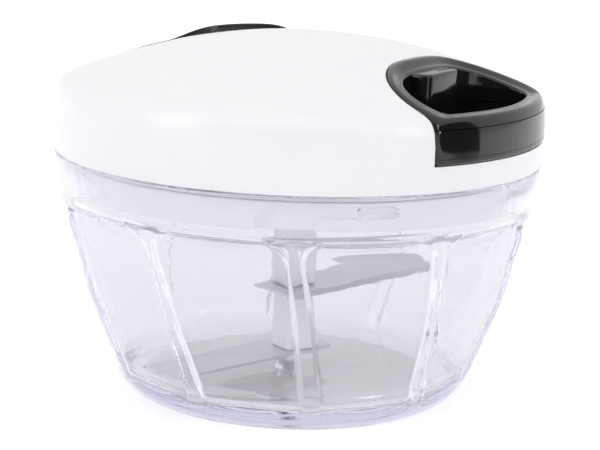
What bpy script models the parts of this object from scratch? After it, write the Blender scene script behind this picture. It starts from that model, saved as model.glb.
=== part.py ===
# Onion chopper with a pull cord: a clear bowl with arched panels, a turning blade hub on a pin,
# and a domed lid that holds the cord reel, its spring and clutch, and a black loop handle.
# Metres, +Z up. The origin is the middle of the base pad's underside, -Y is the front.
# An azimuth is measured from the front (-Y) towards +X, so it grows with a turn about +Z.

import math

import bmesh
import bpy
from mathutils import Matrix, Vector

for old in list(bpy.data.objects):
    bpy.data.objects.remove(old, do_unlink=True)

# Gaps between pieces
FIT_GAP = 0.0003
RUN_GAP = 0.0005
OVERRUN = 0.0040
MERGE = 0.00001

# Bowl
RIM_RADIUS = 0.0640
BOWL_HEIGHT = 0.0645
RIM_WALL = 0.0025
BOWL_WALL = 0.0023
FOOT_RADIUS_SHARE = 0.6484375
FOOT_RIM_WIDTH = 0.0033
FOOT_LIFT = 0.0009
FLOOR_THICKNESS = 0.0030
FLOOR_FILLET = 0.0045
BOSS_RADIUS = 0.0042
BOSS_HEIGHT = 0.0022
# Height and radius along the outer wall, of the bowl's height and the rim's radius
BOWL_WALL_SHARES = (
    (1.000, 1.000), (0.884, 0.991), (0.829, 0.978), (0.783, 0.966), (0.699, 0.948),
    (0.616, 0.923), (0.532, 0.902), (0.447, 0.878), (0.361, 0.845), (0.276, 0.811),
    (0.189, 0.777), (0.104, 0.738), (0.047, 0.697), (0.022, 0.669),
)

# Arched panels round the bowl, with narrow ribs between them
PANEL_COUNT = 10
PANEL_PHASE = math.radians(-0.7)
PANEL_LEAN = math.radians(8.0)
RIB_WIDTH = 0.0020
RIB_FOOT_WIDTH = 0.0034
PANEL_TOP_DROP = 0.0107
PANEL_FOOT_Z = 0.0050
PANEL_STEP = 0.0008
PANEL_SHOULDER = 0.0043
PANEL_CORNER_RADIUS = 0.0070
PANEL_EDGE_DEPTH = 0.0010
PANEL_MIDDLE_DEPTH = 0.0028
PANEL_FADE = 0.0060
PANEL_COLUMN_SHARES = (0.2, 0.4, 0.6, 0.8)

# Bayonet: lugs inside the bowl's rim and the grooves for them in the lid's skirt
LUG_COUNT = 3
LUG_AZIMUTH = math.radians(18.5)
LUG_WIDTH = 0.0102
LUG_DROP = 0.0052
LUG_HEIGHT = 0.0027
LUG_REACH = 0.0015
ENTRY_AZIMUTH = math.radians(-2.4)
ENTRY_HALF_WIDTH = 0.0074
ENTRY_PLAY = 0.0010
GROOVE_CLEARANCE = 0.0005
GROOVE_CORNER_RADIUS = 0.0020
GROOVE_SWEEP_WIDTH = 0.0074

# Base pad
PAD_THICKNESS = 0.0030
PAD_PLAY = 0.0004
PAD_BEVEL = 0.0011

# Pivot pin and blade hub
PIN_RADIUS = 0.0020
PIN_SEAT_DEPTH = 0.0040
PIN_TOP_Z = 0.0240
HUB_AZIMUTH = math.radians(122.0)
HUB_UPPER_WIDTH = 0.0092
HUB_LOWER_WIDTH = 0.0082
HUB_NECK_WIDTH = 0.0068
HUB_CORNER = 0.0009
HUB_TOP_GAP = 0.0018
HUB_FOOT_THICKNESS = 0.0019

# Blades
BLADE_THICKNESS = 0.0008
UPPER_BLADE_Z = 0.0290
LOWER_BLADE_Z = 0.0115
UPPER_BLADE_GAP = 0.0046
LOWER_BLADE_GAP = 0.0011
BLADE_BACK_OFFSET = 0.0054
BLADE_EDGE_OFFSET = 0.0120
BLADE_STUB = 0.0105
BLADE_HEEL = 0.0080
BLADE_CORNER_RADIUS = 0.0030
# Sideways drift of the blade's two long edges for each unit of length
BACK_SLOPE_SHARE = 0.222
EDGE_SLOPE_SHARE = 0.255

# Lid shell
LID_HEIGHT = 0.0312
LID_WALL = 0.0022
# Radius and height along the lid's outer surface, of the rim's radius and the lid's height
LID_SHARES = (
    (0.000, 1.000), (0.234, 0.974), (0.469, 0.901), (0.703, 0.772), (0.859, 0.667),
    (0.9375, 0.606), (0.975, 0.558), (0.99375, 0.474), (1.000, 0.359),
)

# Handle and rear grip: one outline, u outwards from the axis and v across
HANDLE_AZIMUTH = math.radians(60.0)
REAR_GRIP_AZIMUTH = math.radians(210.0)
GRIP_PROUD = 0.0003
REAR_GRIP_CROWN = 0.0022
GRIP_FACE_PROUD = 0.0004
GRIP_SPLIT_RISE = 0.0152
POCKET_FLOOR_RISE = 0.0065
POCKET_WALL = 0.0024
POCKET_PLAY = 0.0004
LOOP_FRONT_RADIUS = 0.0030
LOOP_BAR = 0.0054
GRIP_SIDE_BAR = 0.0081
GRIP_BACK_BAR = 0.0044
GRIP_CORNER_BAR = 0.0090
GRIP_SCREW_INSET = 0.0046
CORD_BOSS_DEPTH = 0.0050
KNOT_INSET = 0.0005
CORD_BOSS_CORNER = 0.0030
CORD_BOSS_DROP = 0.0004
DISH_FLOOR_RISE = 0.0157
DISH_FLOOR_THICKNESS = 0.0025
KNOT_RADIUS = 0.0023
KNOT_PLAY = 0.0006
HANDLE_SCREW_TOP_RISE = 0.0190
REAR_SCREW_TOP_RISE = 0.0137
# Places and widths of the grips, of the rim's radius
GRIP_HALF_WIDTH_SHARE = 0.4953125
GRIP_INNER_REACH_SHARE = 0.509375
GRIP_CORNER_RADIUS_SHARE = 0.359375
CORD_BOSS_HALF_WIDTH_SHARE = 0.140625
GRIP_SCREW_U_SHARE = 0.765625

# Lid inner cover
SKIRT_PLAY = 0.0005
SKIRT_WALL = 0.0026
SKIRT_DROP = 0.0085
COVER_TOP_RISE = 0.0032
COVER_THICKNESS = 0.0020
WELL_PLAY = 0.0027
WELL_WALL = 0.0023
WELL_SINK = 0.0021
WELL_THICKNESS = 0.0023
GUARD_DROP = 0.0055
GUARD_WALL = 0.0019

# Lid seal
SEAL_DROP = 0.0013
SEAL_HEIGHT = 0.0009
SEAL_WIDTH = 0.0013
SEAL_SQUEEZE_GAP = 0.0003

# Screws
SCREW_RADIUS = 0.0013
SCREW_HEAD_RADIUS = 0.0026
SCREW_HEAD_HEIGHT = 0.0015
SCREW_SLOT_WIDTH = 0.0008
SCREW_SLOT_DEPTH = 0.0007
COVER_SCREW_INSET = 0.0104
COVER_SCREW_LENGTH = 0.0120
COVER_SCREW_AZIMUTHS = (math.radians(135.0), math.radians(285.0), math.radians(345.0))
COVER_BOSS_RADIUS = 0.0036
REAR_HEAD_HEIGHT = 0.0011

# Axle, reel, spring and clutch
AXLE_RADIUS = 0.0025
AXLE_FOOT_DROP = 0.0030
AXLE_TOP_DROP = 0.0040
ARBOR_RADIUS = 0.0040
AXLE_BOSS_RADIUS = 0.0048
CLIP_WIDTH = 0.0017
CLIP_THICKNESS = 0.0008
REEL_GAP = 0.0004
REEL_CLEARANCE = 0.0053
REEL_FLANGE_THICKNESS = 0.0012
REEL_CHANNEL = 0.0066
REEL_SLEEVE_RADIUS = 0.0044
CUP_WALL = 0.0012
CUP_HEIGHT = 0.0068
SPRING_THICKNESS = 0.0006
SPRING_TURNS = 5
SPRING_POINTS_PER_TURN = 16
COUPLING_TOP_RISE = 0.0065
TOOTH_DEPTH = 0.0033
COUPLING_WEB_THICKNESS = 0.0016
COUPLING_RADIUS = 0.0130
SOCKET_RADIUS = 0.0090
SOCKET_DROP = 0.0075
SOCKET_PLAY = 0.0008
TOOTH_COUNT = 12
TOOTH_ROOT_RADIUS = 0.0111
TOOTH_TIP_RADIUS = 0.0097
PAWL_POST_RADIUS = 0.0011
PAWL_POST_AT = 0.0072
PAWL_EYE_WALL = 0.0009
PAWL_TIP_RADIUS = 0.0093
PAWL_TIP_AZIMUTHS = (math.radians(33.0), math.radians(213.0))
PAWL_SWEEP = math.radians(38.0)
# Drum, winding and spring cup, of the flange's radius, and the end of a tooth's ramp, of its pitch
REEL_DRUM_SHARE = 0.5388
WINDING_SHARE = 0.6735
CUP_SHARE = 0.7347
TOOTH_RAMP_SHARE = 0.96

# Cord
CORD_RADIUS = 0.0009
CORD_PLAY = 0.0004
EYELET_WALL = 0.0010
EYELET_FLANGE_RADIUS = 0.0036
EYELET_FLANGE_THICKNESS = 0.0008
EYELET_BOW_SHARES = (0.35, 0.7)

# Turning steps
WIDE_STEPS = 60
REEL_STEPS = 32
SMALL_STEPS = 16

# Levels and radii that follow from the bowl
FOOT_RADIUS = RIM_RADIUS * FOOT_RADIUS_SHARE
FLOOR_LOW_Z = PAD_THICKNESS + FIT_GAP
FLOOR_Z = FLOOR_LOW_Z + FLOOR_THICKNESS
PANEL_TOP_Z = BOWL_HEIGHT - PANEL_TOP_DROP
RIM_INNER = RIM_RADIUS - RIM_WALL
LUG_LOW_Z = BOWL_HEIGHT - LUG_DROP
LUG_INNER = RIM_INNER - LUG_REACH
SKIRT_RADIUS = RIM_INNER - SKIRT_PLAY
SKIRT_INNER = SKIRT_RADIUS - SKIRT_WALL
SKIRT_LOW_Z = BOWL_HEIGHT - SKIRT_DROP
SEAL_LOW_Z = BOWL_HEIGHT - SEAL_DROP
GUARD_LOW_Z = BOWL_HEIGHT - GUARD_DROP
SOCKET_LOW_Z = BOWL_HEIGHT - SOCKET_DROP
COVER_SCREW_RADIUS_AT = SKIRT_INNER - COVER_SCREW_INSET

# Levels that follow from the lid
LID_LOW_Z = BOWL_HEIGHT + FIT_GAP
LID_TOP_Z = LID_LOW_Z + LID_HEIGHT
POCKET_FLOOR_Z = LID_LOW_Z + POCKET_FLOOR_RISE
GRIP_SPLIT_Z = LID_LOW_Z + GRIP_SPLIT_RISE
DISH_FLOOR_Z = LID_LOW_Z + DISH_FLOOR_RISE
HANDLE_SCREW_TOP_Z = LID_LOW_Z + HANDLE_SCREW_TOP_RISE
REAR_SCREW_TOP_Z = LID_LOW_Z + REAR_SCREW_TOP_RISE
COVER_TOP_Z = LID_LOW_Z + COVER_TOP_RISE
WELL_TOP_Z = COVER_TOP_Z - WELL_SINK
WELL_SCREW_TOP_Z = COVER_TOP_Z - COVER_THICKNESS - FIT_GAP + COVER_SCREW_LENGTH
AXLE_TOP_Z = LID_TOP_Z - AXLE_TOP_DROP

# Grips, pockets and the cord's knot
GRIP_HALF_WIDTH = RIM_RADIUS * GRIP_HALF_WIDTH_SHARE
GRIP_INNER_REACH = RIM_RADIUS * GRIP_INNER_REACH_SHARE
GRIP_CORNER_RADIUS = RIM_RADIUS * GRIP_CORNER_RADIUS_SHARE
LOOP_HALF_WIDTH = GRIP_HALF_WIDTH - GRIP_SIDE_BAR
LOOP_INNER_REACH = GRIP_INNER_REACH + GRIP_BACK_BAR
LOOP_CORNER_RADIUS = GRIP_CORNER_RADIUS - GRIP_CORNER_BAR
CORD_BOSS_REACH = LOOP_INNER_REACH + CORD_BOSS_DEPTH
CORD_BOSS_HALF_WIDTH = RIM_RADIUS * CORD_BOSS_HALF_WIDTH_SHARE
KNOT_U = LOOP_INNER_REACH + KNOT_INSET
GRIP_SCREW_U = RIM_RADIUS * GRIP_SCREW_U_SHARE
GRIP_SCREW_V = GRIP_HALF_WIDTH - GRIP_SCREW_INSET
POCKET_INNER = GRIP_INNER_REACH - POCKET_PLAY
POCKET_BACK = POCKET_INNER - POCKET_WALL

# Clutch, reel and spring cup, which stack up in the well between the pockets
COUPLING_TOP_Z = LID_LOW_Z + COUPLING_TOP_RISE
COUPLING_WEB_TOP_Z = COUPLING_TOP_Z - TOOTH_DEPTH
HUB_TOP_Z = COUPLING_WEB_TOP_Z - COUPLING_WEB_THICKNESS - HUB_TOP_GAP
AXLE_LOW_Z = COUPLING_WEB_TOP_Z - AXLE_FOOT_DROP
REEL_FLANGE_RADIUS = POCKET_BACK - REEL_CLEARANCE
REEL_DRUM_RADIUS = REEL_FLANGE_RADIUS * REEL_DRUM_SHARE
WINDING_RADIUS = REEL_FLANGE_RADIUS * WINDING_SHARE
CUP_RADIUS = REEL_FLANGE_RADIUS * CUP_SHARE
WELL_RADIUS = REEL_FLANGE_RADIUS + WELL_PLAY
REEL_LOW_Z = COUPLING_TOP_Z + REEL_GAP
REEL_FLOOR_Z = REEL_LOW_Z + REEL_FLANGE_THICKNESS
REEL_CEILING_Z = REEL_FLOOR_Z + REEL_CHANNEL
CUP_FLOOR_Z = REEL_CEILING_Z + REEL_FLANGE_THICKNESS
CUP_TOP_Z = CUP_FLOOR_Z + CUP_HEIGHT
CORD_Z = (REEL_FLOOR_Z + REEL_CEILING_Z) / 2

model = bpy.data.collections.new("onion_chopper")
cutters = bpy.data.collections.new("cutters")
bpy.context.scene.collection.children.link(model)
bpy.context.scene.collection.children.link(cutters)


def finish(name, colour, roughness, metallic, transmission):
    """A Principled material for one sub-part."""
    made = bpy.data.materials.new(name)
    made.use_nodes = True
    made.diffuse_color = (*colour, 1)
    shader = made.node_tree.nodes["Principled BSDF"]
    shader.inputs["Base Color"].default_value = (*colour, 1)
    shader.inputs["Roughness"].default_value = roughness
    shader.inputs["Metallic"].default_value = metallic
    shader.inputs["Transmission Weight"].default_value = transmission
    return made


CLEAR = (0.90, 0.90, 0.98)
WHITE = (0.86, 0.88, 0.90)
BLACK = (0.012, 0.012, 0.014)
STEEL = (0.62, 0.62, 0.64)
PEACH = (0.86, 0.72, 0.63)
CORD = (0.80, 0.80, 0.78)


def keep(obj, group):
    """Put an object in one of the two collections."""
    group.objects.link(obj)
    return obj


def as_guide(obj):
    """Mark an object as a cutter or a joined blank."""
    obj.hide_render = True
    obj.display_type = 'WIRE'
    return keep(obj, cutters)


def as_part(obj, colour, roughness=0.4, metallic=0.0, transmission=0.0):
    """Give a sub-part its material and put it in the model."""
    obj.data.materials.clear()
    obj.data.materials.append(finish(obj.name, colour, roughness, metallic, transmission))
    return keep(obj, model)


def combine(obj, other, operation):
    """Add a Boolean with another object."""
    boolean = obj.modifiers.new(other.name, 'BOOLEAN')
    boolean.operation = operation
    boolean.solver = 'EXACT'
    boolean.object = other
    return obj


def cut(obj, *others):
    """Take the other objects away from this one."""
    for other in others:
        combine(obj, other, 'DIFFERENCE')
    return obj


def join(obj, *others):
    """Unite the other objects with this one."""
    for other in others:
        combine(obj, other, 'UNION')
    return obj


def turned(name, profile, steps, azimuth=0.0):
    """A body turned about Z from a profile that runs down its outer side."""
    mesh = bpy.data.meshes.new(name)
    verts = [(radius, 0, height) for radius, height in profile]
    edges = [(k, k + 1) for k in range(len(verts) - 1)]
    if profile[0][0] > 0 and profile[-1][0] > 0:
        edges.append((len(verts) - 1, 0))
    mesh.from_pydata(verts, edges, [])
    obj = bpy.data.objects.new(name, mesh)
    obj.rotation_euler.z = azimuth - math.pi / 2
    screw = obj.modifiers.new("Turn", 'SCREW')
    screw.axis = 'Z'
    screw.angle = 2 * math.pi
    screw.steps = steps
    screw.render_steps = steps
    screw.use_merge_vertices = True
    screw.merge_threshold = MERGE
    screw.use_smooth_shade = False
    return obj


def rod(name, radius, low, high, segments, u=0.0, v=0.0, azimuth=math.pi / 2):
    """An upright cylinder at (u, v) in the frame of an azimuth."""
    mesh = bpy.data.meshes.new(name)
    made = bmesh.new()
    bmesh.ops.create_cone(made, cap_ends=True, cap_tris=False, segments=segments,
                          radius1=radius, radius2=radius, depth=high - low,
                          matrix=Matrix.Translation((u, v, (low + high) / 2)))
    made.to_mesh(mesh)
    made.free()
    obj = bpy.data.objects.new(name, mesh)
    obj.rotation_euler.z = azimuth - math.pi / 2
    return obj


def radial_rod(name, radius, near, far, height, segments, azimuth):
    """A cylinder that lies along an azimuth."""
    mesh = bpy.data.meshes.new(name)
    made = bmesh.new()
    lie = Matrix.Translation(((near + far) / 2, 0, height)) @ Matrix.Rotation(math.pi / 2, 4, 'Y')
    bmesh.ops.create_cone(made, cap_ends=True, cap_tris=False, segments=segments,
                          radius1=radius, radius2=radius, depth=far - near, matrix=lie)
    made.to_mesh(mesh)
    made.free()
    obj = bpy.data.objects.new(name, mesh)
    obj.rotation_euler.z = azimuth - math.pi / 2
    return obj


def box(name, lows, highs, azimuth=math.pi / 2):
    """A box between two corners in the frame of an azimuth."""
    mesh = bpy.data.meshes.new(name)
    made = bmesh.new()
    size = [high - low for low, high in zip(lows, highs)]
    middle = [(high + low) / 2 for low, high in zip(lows, highs)]
    shape = Matrix.Translation(middle) @ Matrix.Diagonal((*size, 1))
    bmesh.ops.create_cube(made, size=1, matrix=shape)
    made.to_mesh(mesh)
    made.free()
    obj = bpy.data.objects.new(name, mesh)
    obj.rotation_euler.z = azimuth - math.pi / 2
    return obj


def slab(name, outline, low, high, azimuth=math.pi / 2, holes=()):
    """A flat outline, with any holes, between two levels."""
    curve = bpy.data.curves.new(name, 'CURVE')
    curve.dimensions = '2D'
    curve.fill_mode = 'BOTH'
    curve.extrude = (high - low) / 2
    for loop in (outline, *holes):
        spline = curve.splines.new('POLY')
        spline.points.add(len(loop) - 1)
        spline.use_cyclic_u = True
        for point, (x, y) in zip(spline.points, loop):
            point.co = (x, y, 0, 1)
    flat = bpy.data.objects.new(name + "_outline", curve)
    flat.location.z = (low + high) / 2
    bpy.context.scene.collection.objects.link(flat)
    bpy.context.view_layer.update()
    obj = welded(name, flat)
    obj.rotation_euler.z = azimuth - math.pi / 2
    return obj


def welded(name, curve_object):
    """Turn a curve into a mesh whose caps are joined to its sides."""
    graph = bpy.context.evaluated_depsgraph_get()
    mesh = bpy.data.meshes.new_from_object(curve_object.evaluated_get(graph))
    mesh.name = name
    made = bmesh.new()
    made.from_mesh(mesh)
    bmesh.ops.transform(made, matrix=curve_object.matrix_world, verts=made.verts)
    bmesh.ops.remove_doubles(made, verts=made.verts, dist=MERGE)
    bmesh.ops.recalc_face_normals(made, faces=made.faces)
    made.to_mesh(mesh)
    made.free()
    obj = bpy.data.objects.new(name, mesh)
    bpy.data.objects.remove(curve_object, do_unlink=True)
    return obj


def smooth(share):
    """Ease a share of 0 to 1 in and out."""
    share = min(max(share, 0), 1)
    return share * share * (3 - 2 * share)


def along(shares, share):
    """Read a table of (place, value) shares at a place, from high to low places."""
    for (high, top), (low, bottom) in zip(shares, shares[1:]):
        if share >= low:
            part = (share - low) / (high - low)
            return bottom + (top - bottom) * min(part, 1)
    return shares[-1][1]


def arc(centre, radius, start, end, steps):
    """Points on an arc of a circle, with both ends."""
    turn = [start + (end - start) * k / steps for k in range(steps + 1)]
    return [(centre[0] + radius * math.cos(a), centre[1] + radius * math.sin(a)) for a in turn]


def bowl_radius(height):
    """Radius of the bowl's outer wall, on the ribs."""
    return RIM_RADIUS * along(BOWL_WALL_SHARES, height / BOWL_HEIGHT)


def down_panel(height):
    """The share of the way down a panel, from its top to its foot."""
    return min(max((PANEL_TOP_Z - height) / (PANEL_TOP_Z - PANEL_FOOT_Z), 0), 1)


def rib_half(height):
    """Half a rib's width, which grows towards the foot."""
    return (RIB_WIDTH + (RIB_FOOT_WIDTH - RIB_WIDTH) * down_panel(height)) / 2


def panel_depth(turn, height, radius, with_ribs):
    """How far the panels sink into the outer wall, or press into the inner one."""
    pitch = 2 * math.pi / PANEL_COUNT
    offset = (turn - PANEL_PHASE) % pitch - pitch / 2
    half = radius * pitch / 2 - rib_half(height)
    side = half - radius * abs(offset)
    top = PANEL_TOP_Z - height
    if top <= 0 or height <= PANEL_FOOT_Z:
        return 0.0
    reach = top
    if with_ribs:
        reach = min(side, top)
        if side < PANEL_CORNER_RADIUS and top < PANEL_CORNER_RADIUS:
            reach = PANEL_CORNER_RADIUS - math.hypot(PANEL_CORNER_RADIUS - side, PANEL_CORNER_RADIUS - top)
    if reach <= 0:
        return 0.0
    step = smooth(reach / PANEL_STEP)
    middle = max(1 - (radius * offset / half) ** 2, 0) * smooth(top / PANEL_SHOULDER)
    fade = smooth((height - PANEL_FOOT_Z) / PANEL_FADE)
    return fade * step * (PANEL_EDGE_DEPTH + (PANEL_MIDDLE_DEPTH - PANEL_EDGE_DEPTH) * middle)


def build_bowl():
    """The clear bowl, spun from its section and then pressed into panels that lean a little."""
    upper = (PANEL_TOP_Z, PANEL_TOP_Z - PANEL_STEP, PANEL_TOP_Z - PANEL_SHOULDER / 2,
             PANEL_TOP_Z - PANEL_SHOULDER, PANEL_TOP_Z - PANEL_CORNER_RADIUS)
    lower = PANEL_FOOT_Z + PANEL_FADE
    straight = [lower + (upper[-1] - lower) * k / 4 for k in (3, 2, 1)]
    rim_line = BOWL_HEIGHT * BOWL_WALL_SHARES[1][0]
    foot = [BOWL_HEIGHT * share for share, _ in BOWL_WALL_SHARES[-2:]]
    outer = [BOWL_HEIGHT, rim_line, *upper, *straight, lower, (lower + PANEL_FOOT_Z) / 2, PANEL_FOOT_Z, *foot]
    inner = [*upper[1:], *straight, FLOOR_Z + FLOOR_FILLET]
    section = [(bowl_radius(z), z, 'outer') for z in outer]
    section += [(FOOT_RADIUS, FOOT_LIFT, 'foot'), (FOOT_RADIUS - FOOT_RIM_WIDTH, FOOT_LIFT, 'foot'),
                (FOOT_RADIUS - FOOT_RIM_WIDTH, FLOOR_LOW_Z, 'foot'), (0, FLOOR_LOW_Z, 'foot')]
    inside = [(RIM_INNER, BOWL_HEIGHT, 'inner'), (RIM_INNER, SKIRT_LOW_Z - RUN_GAP, 'inner')]
    for z in inner:
        inside.append((bowl_radius(z) - BOWL_WALL, z, 'inner'))
    turn_in = bowl_radius(inner[-1]) - BOWL_WALL - FLOOR_FILLET
    for share in (1 / 2, 1):
        angle = share * math.pi / 2
        inside.append((turn_in + FLOOR_FILLET * math.cos(angle),
                       FLOOR_Z + FLOOR_FILLET * (1 - math.sin(angle)), 'inner'))
    inside.append((0, FLOOR_Z, 'foot'))
    loop = inside[::-1] + section
    columns = len(PANEL_COLUMN_SHARES) + 4
    steps = columns * PANEL_COUNT
    made = bmesh.new()
    kind = made.verts.layers.int.new("kind")
    kinds = {'foot': 0, 'outer': 1, 'inner': 2}
    chain = []
    for radius, height, label in loop:
        vert = made.verts.new((radius, 0, height))
        vert[kind] = kinds[label]
        chain.append(vert)
    edges = [made.edges.new(pair) for pair in zip(chain, chain[1:])]
    bmesh.ops.spin(made, geom=chain + edges, cent=(0, 0, 0), axis=(0, 0, 1), angle=2 * math.pi,
                   steps=steps, use_merge=True, use_duplicate=False)
    bmesh.ops.remove_doubles(made, verts=made.verts, dist=MERGE)
    pitch = 2 * math.pi / PANEL_COUNT
    for vert in made.verts:
        radius = math.hypot(vert.co.x, vert.co.y)
        if radius < MERGE:
            continue
        column = round(math.atan2(vert.co.y, vert.co.x) / (2 * math.pi) * steps) % steps
        lobe, place = divmod(column, columns)
        rib = rib_half(vert.co.z) / radius
        foot_of_step = (rib_half(vert.co.z) + PANEL_STEP) / radius
        offsets = [rib, foot_of_step, *[pitch * share for share in PANEL_COLUMN_SHARES],
                   pitch - foot_of_step, pitch - rib]
        turn = PANEL_PHASE + lobe * pitch + offsets[place]
        if vert[kind]:
            radius -= panel_depth(turn, vert.co.z, radius, vert[kind] == kinds['outer'])
        turn += PANEL_LEAN * down_panel(vert.co.z)
        vert.co.x = radius * math.sin(turn)
        vert.co.y = -radius * math.cos(turn)
    bmesh.ops.recalc_face_normals(made, faces=made.faces)
    mesh = bpy.data.meshes.new("bowl")
    made.to_mesh(mesh)
    made.free()
    bowl = bpy.data.objects.new("bowl", mesh)
    boss = as_guide(rod("boss", BOSS_RADIUS, (FLOOR_LOW_Z + FLOOR_Z) / 2, FLOOR_Z + BOSS_HEIGHT, SMALL_STEPS))
    bore = as_guide(rod("pin_bore", PIN_RADIUS + FIT_GAP, FLOOR_Z + BOSS_HEIGHT - PIN_SEAT_DEPTH,
                        FLOOR_Z + BOSS_HEIGHT + OVERRUN, SMALL_STEPS))
    join(bowl, boss)
    end = LUG_HEIGHT / 2
    reach = LUG_WIDTH / 2 - end
    oval = arc((reach, 0), end, -math.pi / 2, math.pi / 2, 4) + arc((-reach, 0), end, math.pi / 2, math.pi * 3 / 2, 4)
    for k in range(LUG_COUNT):
        lug = slab(f"lug_{k + 1}", oval, 0, RIM_INNER + RIM_WALL / 2 - LUG_INNER)
        turn = LUG_AZIMUTH + 2 * math.pi * k / LUG_COUNT
        lug.rotation_euler = (math.pi / 2, 0, turn)
        lug.location = (LUG_INNER * math.sin(turn), -LUG_INNER * math.cos(turn), LUG_LOW_Z + end)
        join(bowl, as_guide(lug))
    cut(bowl, bore)
    return as_part(bowl, CLEAR, 0.04, 0.0, 1.0)


def build_base():
    """The non-slip pad under the bowl."""
    radius = FOOT_RADIUS - FOOT_RIM_WIDTH - PAD_PLAY
    profile = [(0, PAD_THICKNESS), (radius, PAD_THICKNESS), (radius, PAD_BEVEL), (radius - PAD_BEVEL, 0), (0, 0)]
    return as_part(turned("non_slip_base", profile, WIDE_STEPS), PEACH, 0.55)


def build_pin():
    """The steel pin in the bowl's boss."""
    low = FLOOR_Z + BOSS_HEIGHT - PIN_SEAT_DEPTH + FIT_GAP
    return as_part(rod("bowl_pivot_pin", PIN_RADIUS, low, PIN_TOP_Z, SMALL_STEPS), STEEL, 0.25, 1.0)


def half_diagonal(width):
    """From a square's middle to its corner."""
    return width / math.sqrt(2)


def build_hub():
    """The square blade hub: two sections over a foot, with a neck where each blade sits."""
    clear = BLADE_THICKNESS / 2 + FIT_GAP
    upper, low_section, neck = (half_diagonal(w) for w in (HUB_UPPER_WIDTH, HUB_LOWER_WIDTH, HUB_NECK_WIDTH))
    profile = [(0, HUB_TOP_Z), (upper - HUB_CORNER, HUB_TOP_Z), (upper, HUB_TOP_Z - HUB_CORNER),
               (upper, UPPER_BLADE_Z + clear), (neck, UPPER_BLADE_Z + clear), (neck, UPPER_BLADE_Z - clear),
               (low_section, UPPER_BLADE_Z - clear), (low_section, LOWER_BLADE_Z + clear),
               (neck, LOWER_BLADE_Z + clear), (neck, LOWER_BLADE_Z - clear),
               (low_section, LOWER_BLADE_Z - clear), (low_section, LOWER_BLADE_Z - clear - HUB_FOOT_THICKNESS),
               (0, LOWER_BLADE_Z - clear - HUB_FOOT_THICKNESS)]
    hub = turned("blade_shaft", profile, 4, HUB_AZIMUTH + math.pi / 4)
    foot_z = LOWER_BLADE_Z - clear - HUB_FOOT_THICKNESS
    cut(hub, as_guide(rod("hub_bore", PIN_RADIUS + FIT_GAP, foot_z - OVERRUN, PIN_TOP_Z + FIT_GAP, SMALL_STEPS)))
    return as_part(hub, WHITE, 0.3, 0.0, 0.2)


def blade_outline(reach):
    """A blade's outline: a stub behind the hub, two drifting edges and a round outer end."""
    def meets(offset, slope):
        a = 1 + slope * slope
        b = offset * slope
        return (-b + math.sqrt(b * b - a * (offset * offset - reach * reach))) / a

    back_end = meets(BLADE_BACK_OFFSET, BACK_SLOPE_SHARE)
    tip = meets(-BLADE_EDGE_OFFSET, EDGE_SLOPE_SHARE)
    back_point = (back_end, BLADE_BACK_OFFSET + BACK_SLOPE_SHARE * back_end)
    tip_point = (tip, EDGE_SLOPE_SHARE * tip - BLADE_EDGE_OFFSET)
    start = math.atan2(back_point[1], back_point[0])
    end = math.atan2(tip_point[1], tip_point[0])
    corner = BLADE_CORNER_RADIUS
    turn = corner / reach
    on_arc = [(reach * math.cos(a), reach * math.sin(a))
              for a in (start - turn, start - (start - end) / 2, end)]
    before = (back_end - corner, BLADE_BACK_OFFSET + BACK_SLOPE_SHARE * (back_end - corner))
    middle = ((before[0] + on_arc[0][0] + back_point[0]) / 3, (before[1] + on_arc[0][1] + back_point[1]) / 3)
    stub = (-BLADE_STUB, BLADE_BACK_OFFSET - BACK_SLOPE_SHARE * BLADE_STUB)
    heel = (-BLADE_HEEL, -BLADE_EDGE_OFFSET - EDGE_SLOPE_SHARE * BLADE_HEEL)
    return [stub, heel, on_arc[2], on_arc[1], on_arc[0], middle, before]


def build_blade(name, height, gap, azimuth):
    """A flat steel blade with a square hole for the hub's neck, short of the panels by a gap."""
    reach = bowl_radius(height) - BOWL_WALL - PANEL_MIDDLE_DEPTH - gap
    hole = half_diagonal(HUB_NECK_WIDTH + 2 * FIT_GAP)
    square = [(hole * math.cos(a), hole * math.sin(a)) for a in (math.pi / 4 * k for k in (1, 3, 5, 7))]
    blade = slab(name, blade_outline(reach), height - BLADE_THICKNESS / 2, height + BLADE_THICKNESS / 2,
                 azimuth, (square,))
    return as_part(blade, STEEL, 0.22, 1.0)


def lid_profile(inset, top_inset):
    """Points on the lid's outer surface, moved in by a wall or out by a negative one."""
    points = []
    for radius, height in LID_SHARES:
        points.append((max(radius * (RIM_RADIUS - inset), 0), LID_LOW_Z + height * LID_HEIGHT - top_inset))
    return points


def grip_outline(grow, far, corner_steps=6):
    """The rounded outline that the handle, the rear grip and their pockets share."""
    half = GRIP_HALF_WIDTH + grow
    near = GRIP_INNER_REACH - grow
    radius = GRIP_CORNER_RADIUS + grow
    lower = arc((near + radius, radius - half), radius, math.pi * 3 / 2, math.pi, corner_steps)
    upper = arc((near + radius, half - radius), radius, math.pi, math.pi / 2, corner_steps)
    return [(far, -half), *lower, *upper, (far, half)]


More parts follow.
